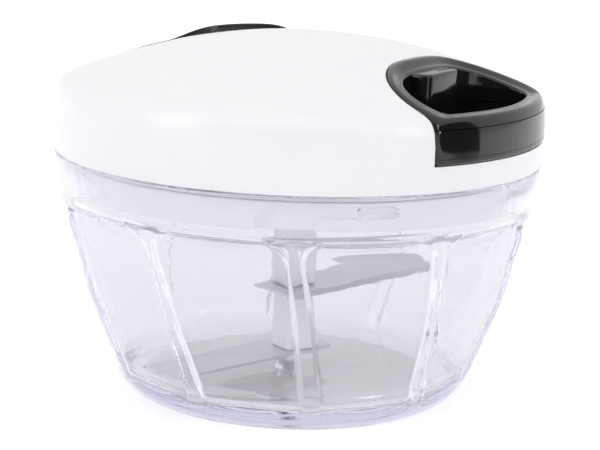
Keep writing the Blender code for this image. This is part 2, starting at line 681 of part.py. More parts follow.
def loop_outline(shrink=0.0, boss=True):
    """The finger loop's opening, with the cord boss standing into it."""
    half = LOOP_HALF_WIDTH - shrink
    near = LOOP_INNER_REACH + shrink
    bar = RIM_RADIUS + GRIP_FACE_PROUD - LOOP_BAR - shrink
    radius = LOOP_CORNER_RADIUS - shrink
    front = LOOP_FRONT_RADIUS
    side = math.sqrt((bar - front) ** 2 - (half - front) ** 2)
    lean = math.atan2(half - front, side)
    points = arc((side, front - half), front, -lean, -math.pi / 2, 2)
    points += arc((near + radius, radius - half), radius, math.pi * 3 / 2, math.pi, 4)
    if boss:
        wide = CORD_BOSS_HALF_WIDTH
        deep = CORD_BOSS_REACH
        turn = CORD_BOSS_CORNER
        points = [p for p in points if abs(p[1]) > wide or p[0] > deep]
        points.append((near, -wide))
        points += arc((deep - turn, turn - wide), turn, -math.pi / 2, 0, 2)
        points += arc((deep - turn, wide - turn), turn, 0, math.pi / 2, 2)
        points.append((near, wide))
    mirrored = [(u, -v) for u, v in points[::-1]] if not boss else []
    if boss:
        head = arc((side, front - half), front, -lean, -math.pi / 2, 2)
        head += arc((near + radius, radius - half), radius, math.pi * 3 / 2, math.pi, 4)
        mirrored = [(u, -v) for u, v in head[::-1] if abs(v) > CORD_BOSS_HALF_WIDTH or u > CORD_BOSS_REACH]
    points += mirrored
    across = [lean * k / 3 for k in (2, 1, 0, -1, -2)]
    points += [(bar * math.cos(a), bar * math.sin(a)) for a in across]
    return points


def build_lid_shell():
    """The white domed shell with its two pockets, bosses and cord hole."""
    outer = lid_profile(0, 0) + [(RIM_RADIUS, LID_LOW_Z)]
    inner = lid_profile(LID_WALL, LID_WALL) + [(RIM_RADIUS - LID_WALL, LID_LOW_Z)]
    shell = turned("lid_shell", outer + inner[::-1], WIDE_STEPS)
    dome = as_guide(turned("dome", lid_profile(LID_WALL / 2, LID_WALL / 2)
                           + [(RIM_RADIUS - LID_WALL / 2, LID_LOW_Z + LID_WALL), (0, LID_LOW_Z + LID_WALL)], WIDE_STEPS))
    under = POCKET_FLOOR_Z - POCKET_WALL
    pockets = (("handle", HANDLE_AZIMUTH), ("rear", REAR_GRIP_AZIMUTH))
    for label, azimuth in pockets:
        body = slab(label + "_pocket_body", grip_outline(POCKET_PLAY + POCKET_WALL, RIM_RADIUS + OVERRUN),
                    under, LID_TOP_Z + OVERRUN, azimuth)
        join(shell, as_guide(combine(body, dome, 'INTERSECT')))
    boss_low = COVER_TOP_Z + FIT_GAP
    for k, azimuth in enumerate(COVER_SCREW_AZIMUTHS):
        boss = rod(f"cover_boss_{k + 1}", COVER_BOSS_RADIUS, boss_low, LID_TOP_Z, SMALL_STEPS,
                   COVER_SCREW_RADIUS_AT, 0, azimuth)
        join(shell, as_guide(combine(boss, dome, 'INTERSECT')))
    axle_boss = rod("axle_boss", AXLE_BOSS_RADIUS, CUP_TOP_Z + RUN_GAP, LID_TOP_Z - LID_WALL / 2, SMALL_STEPS)
    join(shell, as_guide(axle_boss))
    for label, azimuth in pockets:
        cut(shell, as_guide(slab(label + "_pocket", grip_outline(POCKET_PLAY, RIM_RADIUS + OVERRUN), POCKET_FLOOR_Z,
                                 LID_TOP_Z + OVERRUN, azimuth)))
    for k, azimuth in enumerate(COVER_SCREW_AZIMUTHS):
        cut(shell, as_guide(rod(f"cover_screw_hole_{k + 1}", SCREW_RADIUS + FIT_GAP, boss_low - OVERRUN,
                                WELL_SCREW_TOP_Z + FIT_GAP, 8, COVER_SCREW_RADIUS_AT, 0, azimuth)))
    cut(shell, as_guide(rod("axle_hole", AXLE_RADIUS + FIT_GAP, CUP_TOP_Z - OVERRUN, AXLE_TOP_Z + FIT_GAP, SMALL_STEPS)))
    cut(shell, as_guide(radial_rod("eyelet_hole", CORD_RADIUS + CORD_PLAY + EYELET_WALL + FIT_GAP,
                                   POCKET_BACK - OVERRUN / 2, POCKET_INNER + OVERRUN / 2, CORD_Z, SMALL_STEPS,
                                   HANDLE_AZIMUTH)))
    for side in (-1, 1):
        label = "a" if side < 0 else "b"
        cut(shell,
            as_guide(rod("rear_screw_hole_" + label, SCREW_RADIUS + FIT_GAP, under - OVERRUN,
                         POCKET_FLOOR_Z + OVERRUN, 8, GRIP_SCREW_U, side * GRIP_SCREW_V, REAR_GRIP_AZIMUTH)),
            as_guide(rod("rear_screw_seat_" + label, SCREW_HEAD_RADIUS + FIT_GAP, under - OVERRUN,
                         under + REAR_HEAD_HEIGHT + FIT_GAP, 12, GRIP_SCREW_U, side * GRIP_SCREW_V, REAR_GRIP_AZIMUTH)))
    return as_part(shell, WHITE, 0.3)


def groove_outline():
    """The bayonet groove, as (arc length from the entry's middle, height)."""
    radius = SKIRT_RADIUS
    half = ENTRY_HALF_WIDTH
    low = LUG_LOW_Z - FIT_GAP
    high = LUG_LOW_Z + LUG_HEIGHT + FIT_GAP
    far = radius * (LUG_AZIMUTH - ENTRY_AZIMUTH) + LUG_WIDTH / 2 + ENTRY_PLAY / 2
    bottom = SKIRT_LOW_Z - OVERRUN / 4
    turn = GROOVE_CORNER_RADIUS
    end = (high - low) / 2
    rise = high - SKIRT_LOW_Z - turn / 2
    points = [(-half, bottom)]
    for k in range(6):
        angle = math.pi / 2 * k / 5
        points.append((GROOVE_SWEEP_WIDTH * (1 - math.cos(angle)) - half, high - rise + rise * math.sin(angle)))
    points += arc((far - end, low + end), end, math.pi / 2, -math.pi / 2, 4)
    points += arc((half + turn, low - turn), turn, math.pi / 2, math.pi, 3)
    points.append((half, bottom))
    return points


def build_cover():
    """The white inner cover: skirt with bayonet grooves, plate, reel well and socket guard."""
    guard = SOCKET_RADIUS + RUN_GAP
    seal_low = SEAL_LOW_Z - FIT_GAP
    seal_high = SEAL_LOW_Z + SEAL_HEIGHT + FIT_GAP
    seal_floor = RIM_INNER - SEAL_SQUEEZE_GAP - SEAL_WIDTH - FIT_GAP
    low = COVER_TOP_Z - COVER_THICKNESS
    well_low = WELL_TOP_Z - WELL_THICKNESS
    profile = [(SKIRT_RADIUS, COVER_TOP_Z), (SKIRT_RADIUS, seal_high), (seal_floor, seal_high),
               (seal_floor, seal_low), (SKIRT_RADIUS, seal_low), (SKIRT_RADIUS, SKIRT_LOW_Z),
               (SKIRT_INNER, SKIRT_LOW_Z), (SKIRT_INNER, low), (WELL_RADIUS + WELL_WALL, low),
               (WELL_RADIUS + WELL_WALL, well_low), (guard + GUARD_WALL, well_low),
               (guard + GUARD_WALL, GUARD_LOW_Z), (guard, GUARD_LOW_Z), (guard, WELL_TOP_Z),
               (WELL_RADIUS, WELL_TOP_Z), (WELL_RADIUS, COVER_TOP_Z)]
    cover = turned("lid_inner_cover", profile, WIDE_STEPS)
    depth = LUG_REACH - SKIRT_PLAY + GROOVE_CLEARANCE
    for k in range(LUG_COUNT):
        groove = slab(f"groove_{k + 1}", groove_outline(), -depth, OVERRUN / 4)
        made = bmesh.new()
        made.from_mesh(groove.data)
        ends = [vert.co.x for vert in made.verts]
        strips = 10
        for j in range(1, strips):
            place = min(ends) + (max(ends) - min(ends)) * j / strips
            bmesh.ops.bisect_plane(made, geom=made.verts[:] + made.edges[:] + made.faces[:], dist=MERGE / 10,
                                   plane_co=(place, 0, 0), plane_no=(1, 0, 0))
        for vert in made.verts:
            turn = ENTRY_AZIMUTH + 2 * math.pi * k / LUG_COUNT + vert.co.x / SKIRT_RADIUS
            radius = SKIRT_RADIUS + vert.co.z
            vert.co = Vector((radius * math.sin(turn), -radius * math.cos(turn), vert.co.y))
        bmesh.ops.recalc_face_normals(made, faces=made.faces)
        made.to_mesh(groove.data)
        made.free()
        cut(cover, as_guide(groove))
    for k, azimuth in enumerate(COVER_SCREW_AZIMUTHS):
        cut(cover, as_guide(rod(f"cover_hole_{k + 1}", SCREW_RADIUS + FIT_GAP, low - OVERRUN / 2, COVER_TOP_Z + OVERRUN / 2,
                                8, COVER_SCREW_RADIUS_AT, 0, azimuth)))
    return as_part(cover, WHITE, 0.35)


def build_seal():
    """The seal ring in the skirt's groove."""
    outer = RIM_INNER - SEAL_SQUEEZE_GAP
    high = SEAL_LOW_Z + SEAL_HEIGHT
    profile = [(outer, high), (outer, SEAL_LOW_Z), (outer - SEAL_WIDTH, SEAL_LOW_Z), (outer - SEAL_WIDTH, high)]
    return as_part(turned("lid_seal", profile, WIDE_STEPS), WHITE, 0.6)


def build_screw(name, u, v, azimuth, head_low, head_height, top):
    """A slotted screw, entered from below."""
    profile = [(0, top), (SCREW_RADIUS, top), (SCREW_RADIUS, head_low + head_height),
               (SCREW_HEAD_RADIUS, head_low + head_height), (SCREW_HEAD_RADIUS, head_low), (0, head_low)]
    screw = turned(name, profile, 12, azimuth)
    direction = Matrix.Rotation(azimuth - math.pi / 2, 4, 'Z') @ Vector((u, v, 0))
    screw.location = direction
    slot = box(name + "_slot", (-SCREW_HEAD_RADIUS - OVERRUN, -SCREW_SLOT_WIDTH / 2, head_low - OVERRUN),
               (SCREW_HEAD_RADIUS + OVERRUN, SCREW_SLOT_WIDTH / 2, head_low + SCREW_SLOT_DEPTH))
    slot.location = direction
    cut(screw, as_guide(slot))
    return as_part(screw, STEEL, 0.3, 1.0)


def grip_blank(name, azimuth, crown=0.0):
    """The outer form of the handle and of the rear grip, whose inner edge is crowned above the dome."""
    blank = slab(name, grip_outline(0, RIM_RADIUS + OVERRUN), POCKET_FLOOR_Z + FIT_GAP, LID_TOP_Z + OVERRUN, azimuth)
    face = RIM_RADIUS + GRIP_FACE_PROUD
    surface = [(radius, height + (crown if radius < GRIP_INNER_REACH else 0))
               for radius, height in lid_profile(-GRIP_FACE_PROUD, -GRIP_PROUD)]
    low = POCKET_FLOOR_Z - OVERRUN
    envelope = turned(name + "_envelope", surface + [(face, low), (0, low)], WIDE_STEPS, azimuth)
    combine(blank, as_guide(envelope), 'INTERSECT')
    return blank


def build_handle():
    """The pull handle: a loop in two halves, screwed together round the cord's knot."""
    floor = POCKET_FLOOR_Z + FIT_GAP
    wide = RIM_RADIUS + OVERRUN
    parts = []
    opening = as_guide(slab("finger_opening", loop_outline(), floor - OVERRUN, LID_TOP_Z + OVERRUN, HANDLE_AZIMUTH))
    boss_top = LID_TOP_Z - LID_HEIGHT * (1 - along(tuple(reversed(LID_SHARES)), CORD_BOSS_REACH / RIM_RADIUS))
    boss_top += GRIP_PROUD - CORD_BOSS_DROP
    above_boss = as_guide(box("above_cord_boss", (LOOP_INNER_REACH, -CORD_BOSS_HALF_WIDTH - OVERRUN / 8, boss_top),
                              (CORD_BOSS_REACH + OVERRUN / 8, CORD_BOSS_HALF_WIDTH + OVERRUN / 8, LID_TOP_Z + OVERRUN),
                              HANDLE_AZIMUTH))
    for name, low, high in (("handle_lower", GRIP_SPLIT_Z - FIT_GAP / 2, LID_TOP_Z + OVERRUN * 2),
                            ("handle_upper", floor - OVERRUN * 2, GRIP_SPLIT_Z + FIT_GAP / 2)):
        half = grip_blank(name, HANDLE_AZIMUTH)
        cut(half, opening, as_guide(box(name + "_split", (0, -wide, low), (wide + OVERRUN, wide, high), HANDLE_AZIMUTH)))
        for side in (-1, 1):
            label = "_a" if side < 0 else "_b"
            cut(half, as_guide(rod(name + "_screw_hole" + label, SCREW_RADIUS + FIT_GAP, floor - OVERRUN,
                                   HANDLE_SCREW_TOP_Z + FIT_GAP, 8, GRIP_SCREW_U, side * GRIP_SCREW_V, HANDLE_AZIMUTH)))
        parts.append(half)
    lower, upper = parts
    cut(upper, above_boss)
    for side in (-1, 1):
        label = "a" if side < 0 else "b"
        cut(lower, as_guide(rod("handle_screw_seat_" + label, SCREW_HEAD_RADIUS + FIT_GAP, floor - OVERRUN,
                                floor + SCREW_HEAD_HEIGHT + 2 * FIT_GAP, 12, GRIP_SCREW_U, side * GRIP_SCREW_V,
                                HANDLE_AZIMUTH)))
    knot_room = KNOT_RADIUS + KNOT_PLAY
    cut(lower,
        as_guide(rod("knot_room", knot_room, CORD_Z - knot_room, GRIP_SPLIT_Z + OVERRUN, SMALL_STEPS, KNOT_U, 0,
                     HANDLE_AZIMUTH)),
        as_guide(radial_rod("cord_bore", CORD_RADIUS + CORD_PLAY, GRIP_INNER_REACH - OVERRUN, KNOT_U, CORD_Z, 8,
                            HANDLE_AZIMUTH)))
    for half in (upper, lower):
        as_part(half, BLACK, 0.12)
    for k, side in enumerate((-1, 1)):
        build_screw(f"handle_screw_{k + 1}", GRIP_SCREW_U, side * GRIP_SCREW_V, HANDLE_AZIMUTH,
                    floor + FIT_GAP, SCREW_HEAD_HEIGHT, HANDLE_SCREW_TOP_Z)


def build_rear_grip():
    """The fixed grip at the back: dished above, hollow below."""
    floor = POCKET_FLOOR_Z + FIT_GAP
    grip = grip_blank("rear_grip", REAR_GRIP_AZIMUTH, REAR_GRIP_CROWN)
    dish = as_guide(slab("dish", loop_outline(0, False), DISH_FLOOR_Z, LID_TOP_Z + OVERRUN, REAR_GRIP_AZIMUTH))
    hollow = as_guide(slab("hollow", loop_outline(GRIP_PROUD, False), floor - OVERRUN,
                           DISH_FLOOR_Z - DISH_FLOOR_THICKNESS, REAR_GRIP_AZIMUTH))
    cut(grip, dish, hollow)
    under = POCKET_FLOOR_Z - POCKET_WALL
    for k, side in enumerate((-1, 1)):
        cut(grip, as_guide(rod(f"rear_grip_hole_{k + 1}", SCREW_RADIUS + FIT_GAP, floor - OVERRUN,
                               REAR_SCREW_TOP_Z + FIT_GAP, 8, GRIP_SCREW_U, side * GRIP_SCREW_V, REAR_GRIP_AZIMUTH)))
        build_screw(f"rear_grip_screw_{k + 1}", GRIP_SCREW_U, side * GRIP_SCREW_V, REAR_GRIP_AZIMUTH,
                    under, REAR_HEAD_HEIGHT, REAR_SCREW_TOP_Z)
    return as_part(grip, BLACK, 0.15)


def build_axle():
    """The fixed axle with its spring arbor, and the clip below the coupling."""
    arbor_low = CUP_FLOOR_Z + FIT_GAP
    arbor_high = CUP_TOP_Z + RUN_GAP - FIT_GAP
    profile = [(0, AXLE_TOP_Z), (AXLE_RADIUS, AXLE_TOP_Z), (AXLE_RADIUS, arbor_high), (ARBOR_RADIUS, arbor_high),
               (ARBOR_RADIUS, arbor_low), (AXLE_RADIUS, arbor_low), (AXLE_RADIUS, AXLE_LOW_Z), (0, AXLE_LOW_Z)]
    as_part(turned("reel_axle", profile, SMALL_STEPS), STEEL, 0.25, 1.0)
    high = COUPLING_WEB_TOP_Z - COUPLING_WEB_THICKNESS - FIT_GAP
    low = high - CLIP_THICKNESS
    inner = AXLE_RADIUS + FIT_GAP
    ring = [(inner + CLIP_WIDTH, high), (inner + CLIP_WIDTH, low), (inner, low), (inner, high)]
    as_part(turned("axle_clip", ring, SMALL_STEPS), STEEL, 0.3, 1.0)


def build_reel():
    """The cord reel: drum between flanges, spring cup above, sleeve and pawl posts below."""
    bore = AXLE_RADIUS + FIT_GAP
    sleeve_low = COUPLING_WEB_TOP_Z + RUN_GAP
    profile = [(CUP_RADIUS + CUP_WALL, CUP_TOP_Z), (CUP_RADIUS + CUP_WALL, CUP_FLOOR_Z),
               (REEL_FLANGE_RADIUS, CUP_FLOOR_Z), (REEL_FLANGE_RADIUS, REEL_CEILING_Z),
               (REEL_DRUM_RADIUS, REEL_CEILING_Z), (REEL_DRUM_RADIUS, REEL_FLOOR_Z),
               (REEL_FLANGE_RADIUS, REEL_FLOOR_Z), (REEL_FLANGE_RADIUS, REEL_LOW_Z),
               (REEL_SLEEVE_RADIUS, REEL_LOW_Z), (REEL_SLEEVE_RADIUS, sleeve_low), (bore, sleeve_low),
               (bore, CUP_FLOOR_Z), (CUP_RADIUS, CUP_FLOOR_Z), (CUP_RADIUS, CUP_TOP_Z)]
    reel = turned("cord_reel", profile, REEL_STEPS)
    pawl_low = COUPLING_WEB_TOP_Z + RUN_GAP
    pawl_high = REEL_LOW_Z - RUN_GAP
    for k, tip_turn in enumerate(PAWL_TIP_AZIMUTHS):
        post_turn = tip_turn + PAWL_SWEEP
        post = as_guide(rod(f"pawl_post_{k + 1}", PAWL_POST_RADIUS, pawl_low, REEL_LOW_Z + REEL_FLANGE_THICKNESS / 2, 10,
                            PAWL_POST_AT, 0, post_turn))
        join(reel, post)
        eye = PAWL_POST_RADIUS + FIT_GAP
        build_pawl(f"pawl_{k + 1}", tip_turn, post_turn, eye, pawl_low, pawl_high)
    return as_part(reel, WHITE, 0.4)


def build_pawl(name, tip_turn, post_turn, eye, low, high):
    """A pawl: an eye round its post and a nose, folded in clear of the teeth."""
    sweep = tip_turn - post_turn
    tip = (PAWL_TIP_RADIUS * math.cos(sweep), PAWL_TIP_RADIUS * math.sin(sweep))
    centre = (PAWL_POST_AT, 0)
    outer = eye + PAWL_EYE_WALL
    gap = math.hypot(tip[0] - centre[0], tip[1] - centre[1])
    heading = math.atan2(tip[1] - centre[1], tip[0] - centre[0])
    lean = math.acos(outer / gap)
    outline = arc(centre, outer, heading + lean, heading + 2 * math.pi - lean, 7) + [tip]
    hole = arc(centre, eye, 0, 2 * math.pi * 7 / 8, 7)
    pawl = slab(name, outline, low, high, post_turn, (hole,))
    return as_part(pawl, BLACK, 0.4)


def build_winding():
    """The cord wound on the drum, and its lead out through the eyelet."""
    high = REEL_CEILING_Z - FIT_GAP
    low = REEL_FLOOR_Z + FIT_GAP
    inner = REEL_DRUM_RADIUS + FIT_GAP
    ring = [(WINDING_RADIUS, high), (WINDING_RADIUS, low), (inner, low), (inner, high)]
    as_part(turned("cord_winding", ring, REEL_STEPS), CORD, 0.8)
    run_radius = WINDING_RADIUS + FIT_GAP + CORD_RADIUS
    mouth = POCKET_BACK - FIT_GAP - EYELET_FLANGE_THICKNESS - CORD_RADIUS * 2
    turn = math.acos(run_radius / mouth)
    start = Vector((run_radius * math.cos(turn), run_radius * math.sin(turn), CORD_Z))
    bend = Vector((mouth, 0, CORD_Z))
    end = Vector((POCKET_INNER - EYELET_FLANGE_THICKNESS - FIT_GAP, 0, CORD_Z))
    before = start + (bend - start) * (1 - CORD_RADIUS * 3 / (bend - start).length)
    route = [start, start + (before - start) / 2, before]
    for share in EYELET_BOW_SHARES:
        first = before + (bend - before) * share
        second = bend + (end - bend) * share
        route.append(first + (second - first) * share)
    route.append(end)
    as_part(cord("pull_cord_lead", route), CORD, 0.8)
    stub_start = Vector((end.x + FIT_GAP, 0, CORD_Z))
    stub_end = Vector((KNOT_U - KNOT_RADIUS - FIT_GAP, 0, CORD_Z))
    as_part(cord("pull_cord", [stub_start, (stub_start + stub_end) / 2, stub_end]), CORD, 0.8)
    knot = bpy.data.meshes.new("cord_knot")
    made = bmesh.new()
    bmesh.ops.create_uvsphere(made, u_segments=12, v_segments=8, radius=KNOT_RADIUS)
    made.to_mesh(knot)
    made.free()
    ball = bpy.data.objects.new("cord_knot", knot)
    ball.location = (KNOT_U * math.sin(HANDLE_AZIMUTH), -KNOT_U * math.cos(HANDLE_AZIMUTH), CORD_Z)
    as_part(ball, CORD, 0.8)


def cord(name, route):
    """A round cord along points in the handle's frame."""
    curve = bpy.data.curves.new(name, 'CURVE')
    curve.dimensions = '3D'
    curve.bevel_depth = CORD_RADIUS
    curve.bevel_resolution = 2
    curve.use_fill_caps = True
    spline = curve.splines.new('POLY')
    spline.points.add(len(route) - 1)
    for point, place in zip(spline.points, route):
        point.co = (*place, 1)
    obj = bpy.data.objects.new(name + "_route", curve)
    obj.rotation_euler.z = HANDLE_AZIMUTH - math.pi / 2
    bpy.context.scene.collection.objects.link(obj)
    bpy.context.view_layer.update()
    return welded(name, obj)


def build_eyelet():
    """The flanged guide through which the cord leaves the lid."""
    inner = CORD_RADIUS + CORD_PLAY
    outer = inner + EYELET_WALL
    far = POCKET_INNER - FIT_GAP
    shoulder = POCKET_BACK - FIT_GAP
    near = shoulder - EYELET_FLANGE_THICKNESS
    profile = [(outer, far), (outer, shoulder), (EYELET_FLANGE_RADIUS, shoulder), (EYELET_FLANGE_RADIUS, near),
               (inner, near), (inner, far)]
    eyelet = turned("cord_eyelet", profile, 12)
    eyelet.rotation_euler = (0, math.pi / 2, HANDLE_AZIMUTH - math.pi / 2)
    eyelet.location.z = CORD_Z
    return as_part(eyelet, STEEL, 0.3, 1.0)


def build_spring():
    """The flat spiral spring in the reel's cup."""
    inner = ARBOR_RADIUS + FIT_GAP
    outer = CUP_RADIUS - FIT_GAP - SPRING_THICKNESS
    count = SPRING_TURNS * SPRING_POINTS_PER_TURN
    rows = ([], [])
    for k in range(count + 1):
        turn = 2 * math.pi * k / SPRING_POINTS_PER_TURN
        radius = inner + (outer - inner) * k / count
        for row, grow in zip(rows, (0, SPRING_THICKNESS)):
            row.append(((radius + grow) * math.cos(turn), (radius + grow) * math.sin(turn)))
    spring = slab("rewind_spring", rows[0] + rows[1][::-1], CUP_FLOOR_Z + RUN_GAP, CUP_TOP_Z - RUN_GAP)
    return as_part(spring, STEEL, 0.3, 1.0)


def build_coupling():
    """The drive coupling: ratchet ring above, square socket for the hub below."""
    web_low = COUPLING_WEB_TOP_Z - COUPLING_WEB_THICKNESS
    profile = [(0, COUPLING_TOP_Z), (COUPLING_RADIUS, COUPLING_TOP_Z), (COUPLING_RADIUS, web_low),
               (SOCKET_RADIUS, web_low), (SOCKET_RADIUS, SOCKET_LOW_Z), (0, SOCKET_LOW_Z)]
    coupling = turned("drive_coupling", profile, REEL_STEPS)
    teeth = []
    for k in range(TOOTH_COUNT):
        start = 2 * math.pi * k / TOOTH_COUNT
        pitch = 2 * math.pi / TOOTH_COUNT
        for share in (0, 1 / 3, 2 / 3):
            radius = TOOTH_ROOT_RADIUS + (TOOTH_TIP_RADIUS - TOOTH_ROOT_RADIUS) * share
            teeth.append((radius * math.cos(start + pitch * share), radius * math.sin(start + pitch * share)))
        teeth.append((TOOTH_TIP_RADIUS * math.cos(start + pitch * TOOTH_RAMP_SHARE), TOOTH_TIP_RADIUS * math.sin(start + pitch * TOOTH_RAMP_SHARE)))
    width = HUB_UPPER_WIDTH + SOCKET_PLAY
    socket = box("socket", (-width / 2, -width / 2, SOCKET_LOW_Z - OVERRUN), (width / 2, width / 2, web_low), HUB_AZIMUTH)
    cut(coupling, as_guide(slab("ratchet", teeth, COUPLING_WEB_TOP_Z, COUPLING_TOP_Z + OVERRUN, 0.0)),
        as_guide(socket),
        as_guide(rod("coupling_bore", AXLE_RADIUS + FIT_GAP, web_low - OVERRUN, COUPLING_WEB_TOP_Z + OVERRUN, SMALL_STEPS)))
    return as_part(coupling, WHITE, 0.4)


def empty(name, height, parent=None, azimuth=None, reach=0.0):
    """An empty on a joint's axis."""
    made = bpy.data.objects.new(name, None)
    if azimuth is not None:
        made.location = (reach * math.sin(azimuth), -reach * math.cos(azimuth), height)
    else:
        made.location.z = height
    model.objects.link(made)
    bpy.context.view_layer.update()
    if parent:
        hang(made, parent)
    return made


def hang(obj, parent):
    """Parent an object and leave it where it stands."""
    bpy.context.view_layer.update()
    obj.parent = parent
    obj.matrix_parent_inverse = parent.matrix_world.inverted()


def assemble():
    """Hang every moving piece on the empty of its joint."""
    blades = empty("blade_axis", PIN_TOP_Z)
    lift = empty("lid_lift_axis", SEAL_LOW_Z)
    twist = empty("lid_twist_axis", LID_LOW_Z, lift)
    reel = empty("reel_axis", CORD_Z, twist)
    drive = empty("drive_axis", COUPLING_WEB_TOP_Z, lift)
    pull = empty("handle_axis", CORD_Z, twist, HANDLE_AZIMUTH, GRIP_INNER_REACH)
    groups = {
        blades: ("blade_shaft", "upper_blade", "lower_blade"),
        lift: ("lid_seal",),
        twist: ("lid_shell", "lid_inner_cover", "cover_screw_1", "cover_screw_2", "cover_screw_3",
                "cord_eyelet", "reel_axle", "axle_clip", "rear_grip", "rear_grip_screw_1",
                "rear_grip_screw_2", "rewind_spring", "pull_cord_lead"),
        reel: ("cord_reel", "cord_winding", "pawl_1", "pawl_2"),
        drive: ("drive_coupling",),
        pull: ("handle_upper", "handle_lower", "handle_screw_1", "handle_screw_2", "cord_knot", "pull_cord"),
    }
    for parent, names in groups.items():
        for name in names:
            hang(bpy.data.objects[name], parent)


build_bowl()
build_base()
build_pin()
build_hub()
build_blade("upper_blade", UPPER_BLADE_Z, UPPER_BLADE_GAP, HUB_AZIMUTH)
build_blade("lower_blade", LOWER_BLADE_Z, LOWER_BLADE_GAP, HUB_AZIMUTH + math.pi)
build_lid_shell()
build_cover()
build_seal()
for index, place in enumerate(COVER_SCREW_AZIMUTHS):
    build_screw(f"cover_screw_{index + 1}", COVER_SCREW_RADIUS_AT, 0, place,
                COVER_TOP_Z - COVER_THICKNESS - FIT_GAP - SCREW_HEAD_HEIGHT, SCREW_HEAD_HEIGHT, WELL_SCREW_TOP_Z)
build_handle()
build_rear_grip()
build_axle()
build_reel()
build_winding()
build_eyelet()
build_spring()
build_coupling()
assemble()
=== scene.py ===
# An onion chopper with a pull cord: a clear ribbed bowl, two blades on a milky hub, a white domed lid and a
# glossy black loop handle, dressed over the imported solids. Metres, +Z up, -Y is the front.
# An azimuth is measured from the front (-Y) towards +X. In a grip's frame u runs outwards and v across.

import math

import bmesh
import bpy
from mathutils import Matrix, Vector


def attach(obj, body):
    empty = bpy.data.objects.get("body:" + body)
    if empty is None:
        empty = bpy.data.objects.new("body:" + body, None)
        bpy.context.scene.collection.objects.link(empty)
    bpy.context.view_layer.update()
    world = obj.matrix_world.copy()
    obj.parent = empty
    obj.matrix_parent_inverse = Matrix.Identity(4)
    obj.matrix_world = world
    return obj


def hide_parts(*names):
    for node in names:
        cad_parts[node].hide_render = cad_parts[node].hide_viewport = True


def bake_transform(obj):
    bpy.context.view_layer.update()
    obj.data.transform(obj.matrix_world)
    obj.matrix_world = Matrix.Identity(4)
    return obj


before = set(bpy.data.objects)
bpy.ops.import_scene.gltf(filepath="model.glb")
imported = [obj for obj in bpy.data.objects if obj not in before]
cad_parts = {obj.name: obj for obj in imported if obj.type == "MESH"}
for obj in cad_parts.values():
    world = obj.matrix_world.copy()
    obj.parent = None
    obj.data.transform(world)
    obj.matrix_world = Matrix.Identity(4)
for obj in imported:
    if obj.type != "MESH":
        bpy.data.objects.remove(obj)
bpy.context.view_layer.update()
scene = bpy.context.scene
scene.view_settings.view_transform = 'Standard'

# Sizes that the solids have too
RIM_RADIUS = 0.0640
BOWL_HEIGHT = 0.0645
LID_LOW = 0.0648
LID_HEIGHT = 0.0312
RIM_INNER = 0.0615
SKIRT_RADIUS = 0.0610
SKIRT_INNER = 0.0584
SKIRT_LOW = 0.0560
FLOOR_LOW = 0.0033
FLOOR_Z = 0.0063
BOWL_WALL = 0.0023
HANDLE_AZIMUTH = math.radians(60)
REAR_AZIMUTH = math.radians(210)
HUB_AZIMUTH = math.radians(122)
POCKET_FLOOR = 0.0713
GRIP_FLOOR = 0.0716
SPLIT_Z = 0.0800
CORD_Z = 0.0762

# The camera that was fitted to the photograph
EYE = Vector((0.00121, -0.53635, 0.1579))
PITCH = math.radians(11.93)
ROLL = math.radians(2.11)
FOCAL_PIXELS = 2059.12
IMAGE_WIDTH = 600
SENSOR = 36


def place_camera():
    """The camera, pitched down and rolled as in the photograph."""
    data = bpy.data.cameras.new("camera")
    data.sensor_width = SENSOR
    data.lens = FOCAL_PIXELS / IMAGE_WIDTH * SENSOR
    data.clip_start, data.clip_end = 0.01, 50
    ahead = Vector((0, math.cos(PITCH), -math.sin(PITCH)))
    right = Vector((1, 0, 0))
    up = right.cross(ahead)
    turned_right = right * math.cos(ROLL) + up * math.sin(ROLL)
    turned_up = up * math.cos(ROLL) - right * math.sin(ROLL)
    camera = bpy.data.objects.new("camera", data)
    rotation = Matrix((turned_right, turned_up, -ahead)).transposed().to_4x4()
    camera.matrix_world = Matrix.Translation(EYE) @ rotation
    scene.collection.objects.link(camera)
    scene.camera = camera


# Materials

def paint(code):
    """Linear colour of an sRGB hex value."""
    parts = [int(code[k:k + 2], 16) / 255 for k in (1, 3, 5)]
    return (*[c / 12.92 if c <= 0.04045 else ((c + 0.055) / 1.055) ** 2.4 for c in parts], 1)


def add(tree, kind, settings=None, links=None):
    """Add a node, set its own values and its sockets, and link the sockets named."""
    node = tree.nodes.new(kind)
    for key, value in (settings or {}).items():
        if isinstance(key, str) and hasattr(node, key):
            setattr(node, key, value)
        else:
            node.inputs[key].default_value = value
    for key, source in (links or {}).items():
        tree.links.new(source, node.inputs[key])
    return node


def largest(tree, value, *others):
    """The largest of several outputs."""
    for other in others:
        value = add(tree, 'ShaderNodeMath', {"operation": 'MAXIMUM'}, {0: value, 1: other}).outputs[0]
    return value


def noise(tree, where, size, detail):
    """A soft noise at a place in the object's own space, with spots of a size in metres."""
    return add(tree, 'ShaderNodeTexNoise', {"Scale": 1 / size, "Detail": detail},
               {"Vector": where}).outputs["Fac"]


def surface(name, settings):
    """A material whose Principled shader has these sockets set."""
    made = bpy.data.materials.new(name)
    made.use_nodes = True
    shader = made.node_tree.nodes["Principled BSDF"]
    for key, value in settings.items():
        shader.inputs[key].default_value = value
    return made, made.node_tree, shader


def tint(tree, shader, value, dark, pale, start, end):
    """Colour a surface between two tones by a value."""
    ramp = add(tree, 'ShaderNodeValToRGB', None, {"Fac": value})
    for stop, place, code in zip(ramp.color_ramp.elements, (start, end), (dark, pale)):
        stop.position, stop.color = place, paint(code)
    tree.links.new(ramp.outputs["Color"], shader.inputs["Base Color"])


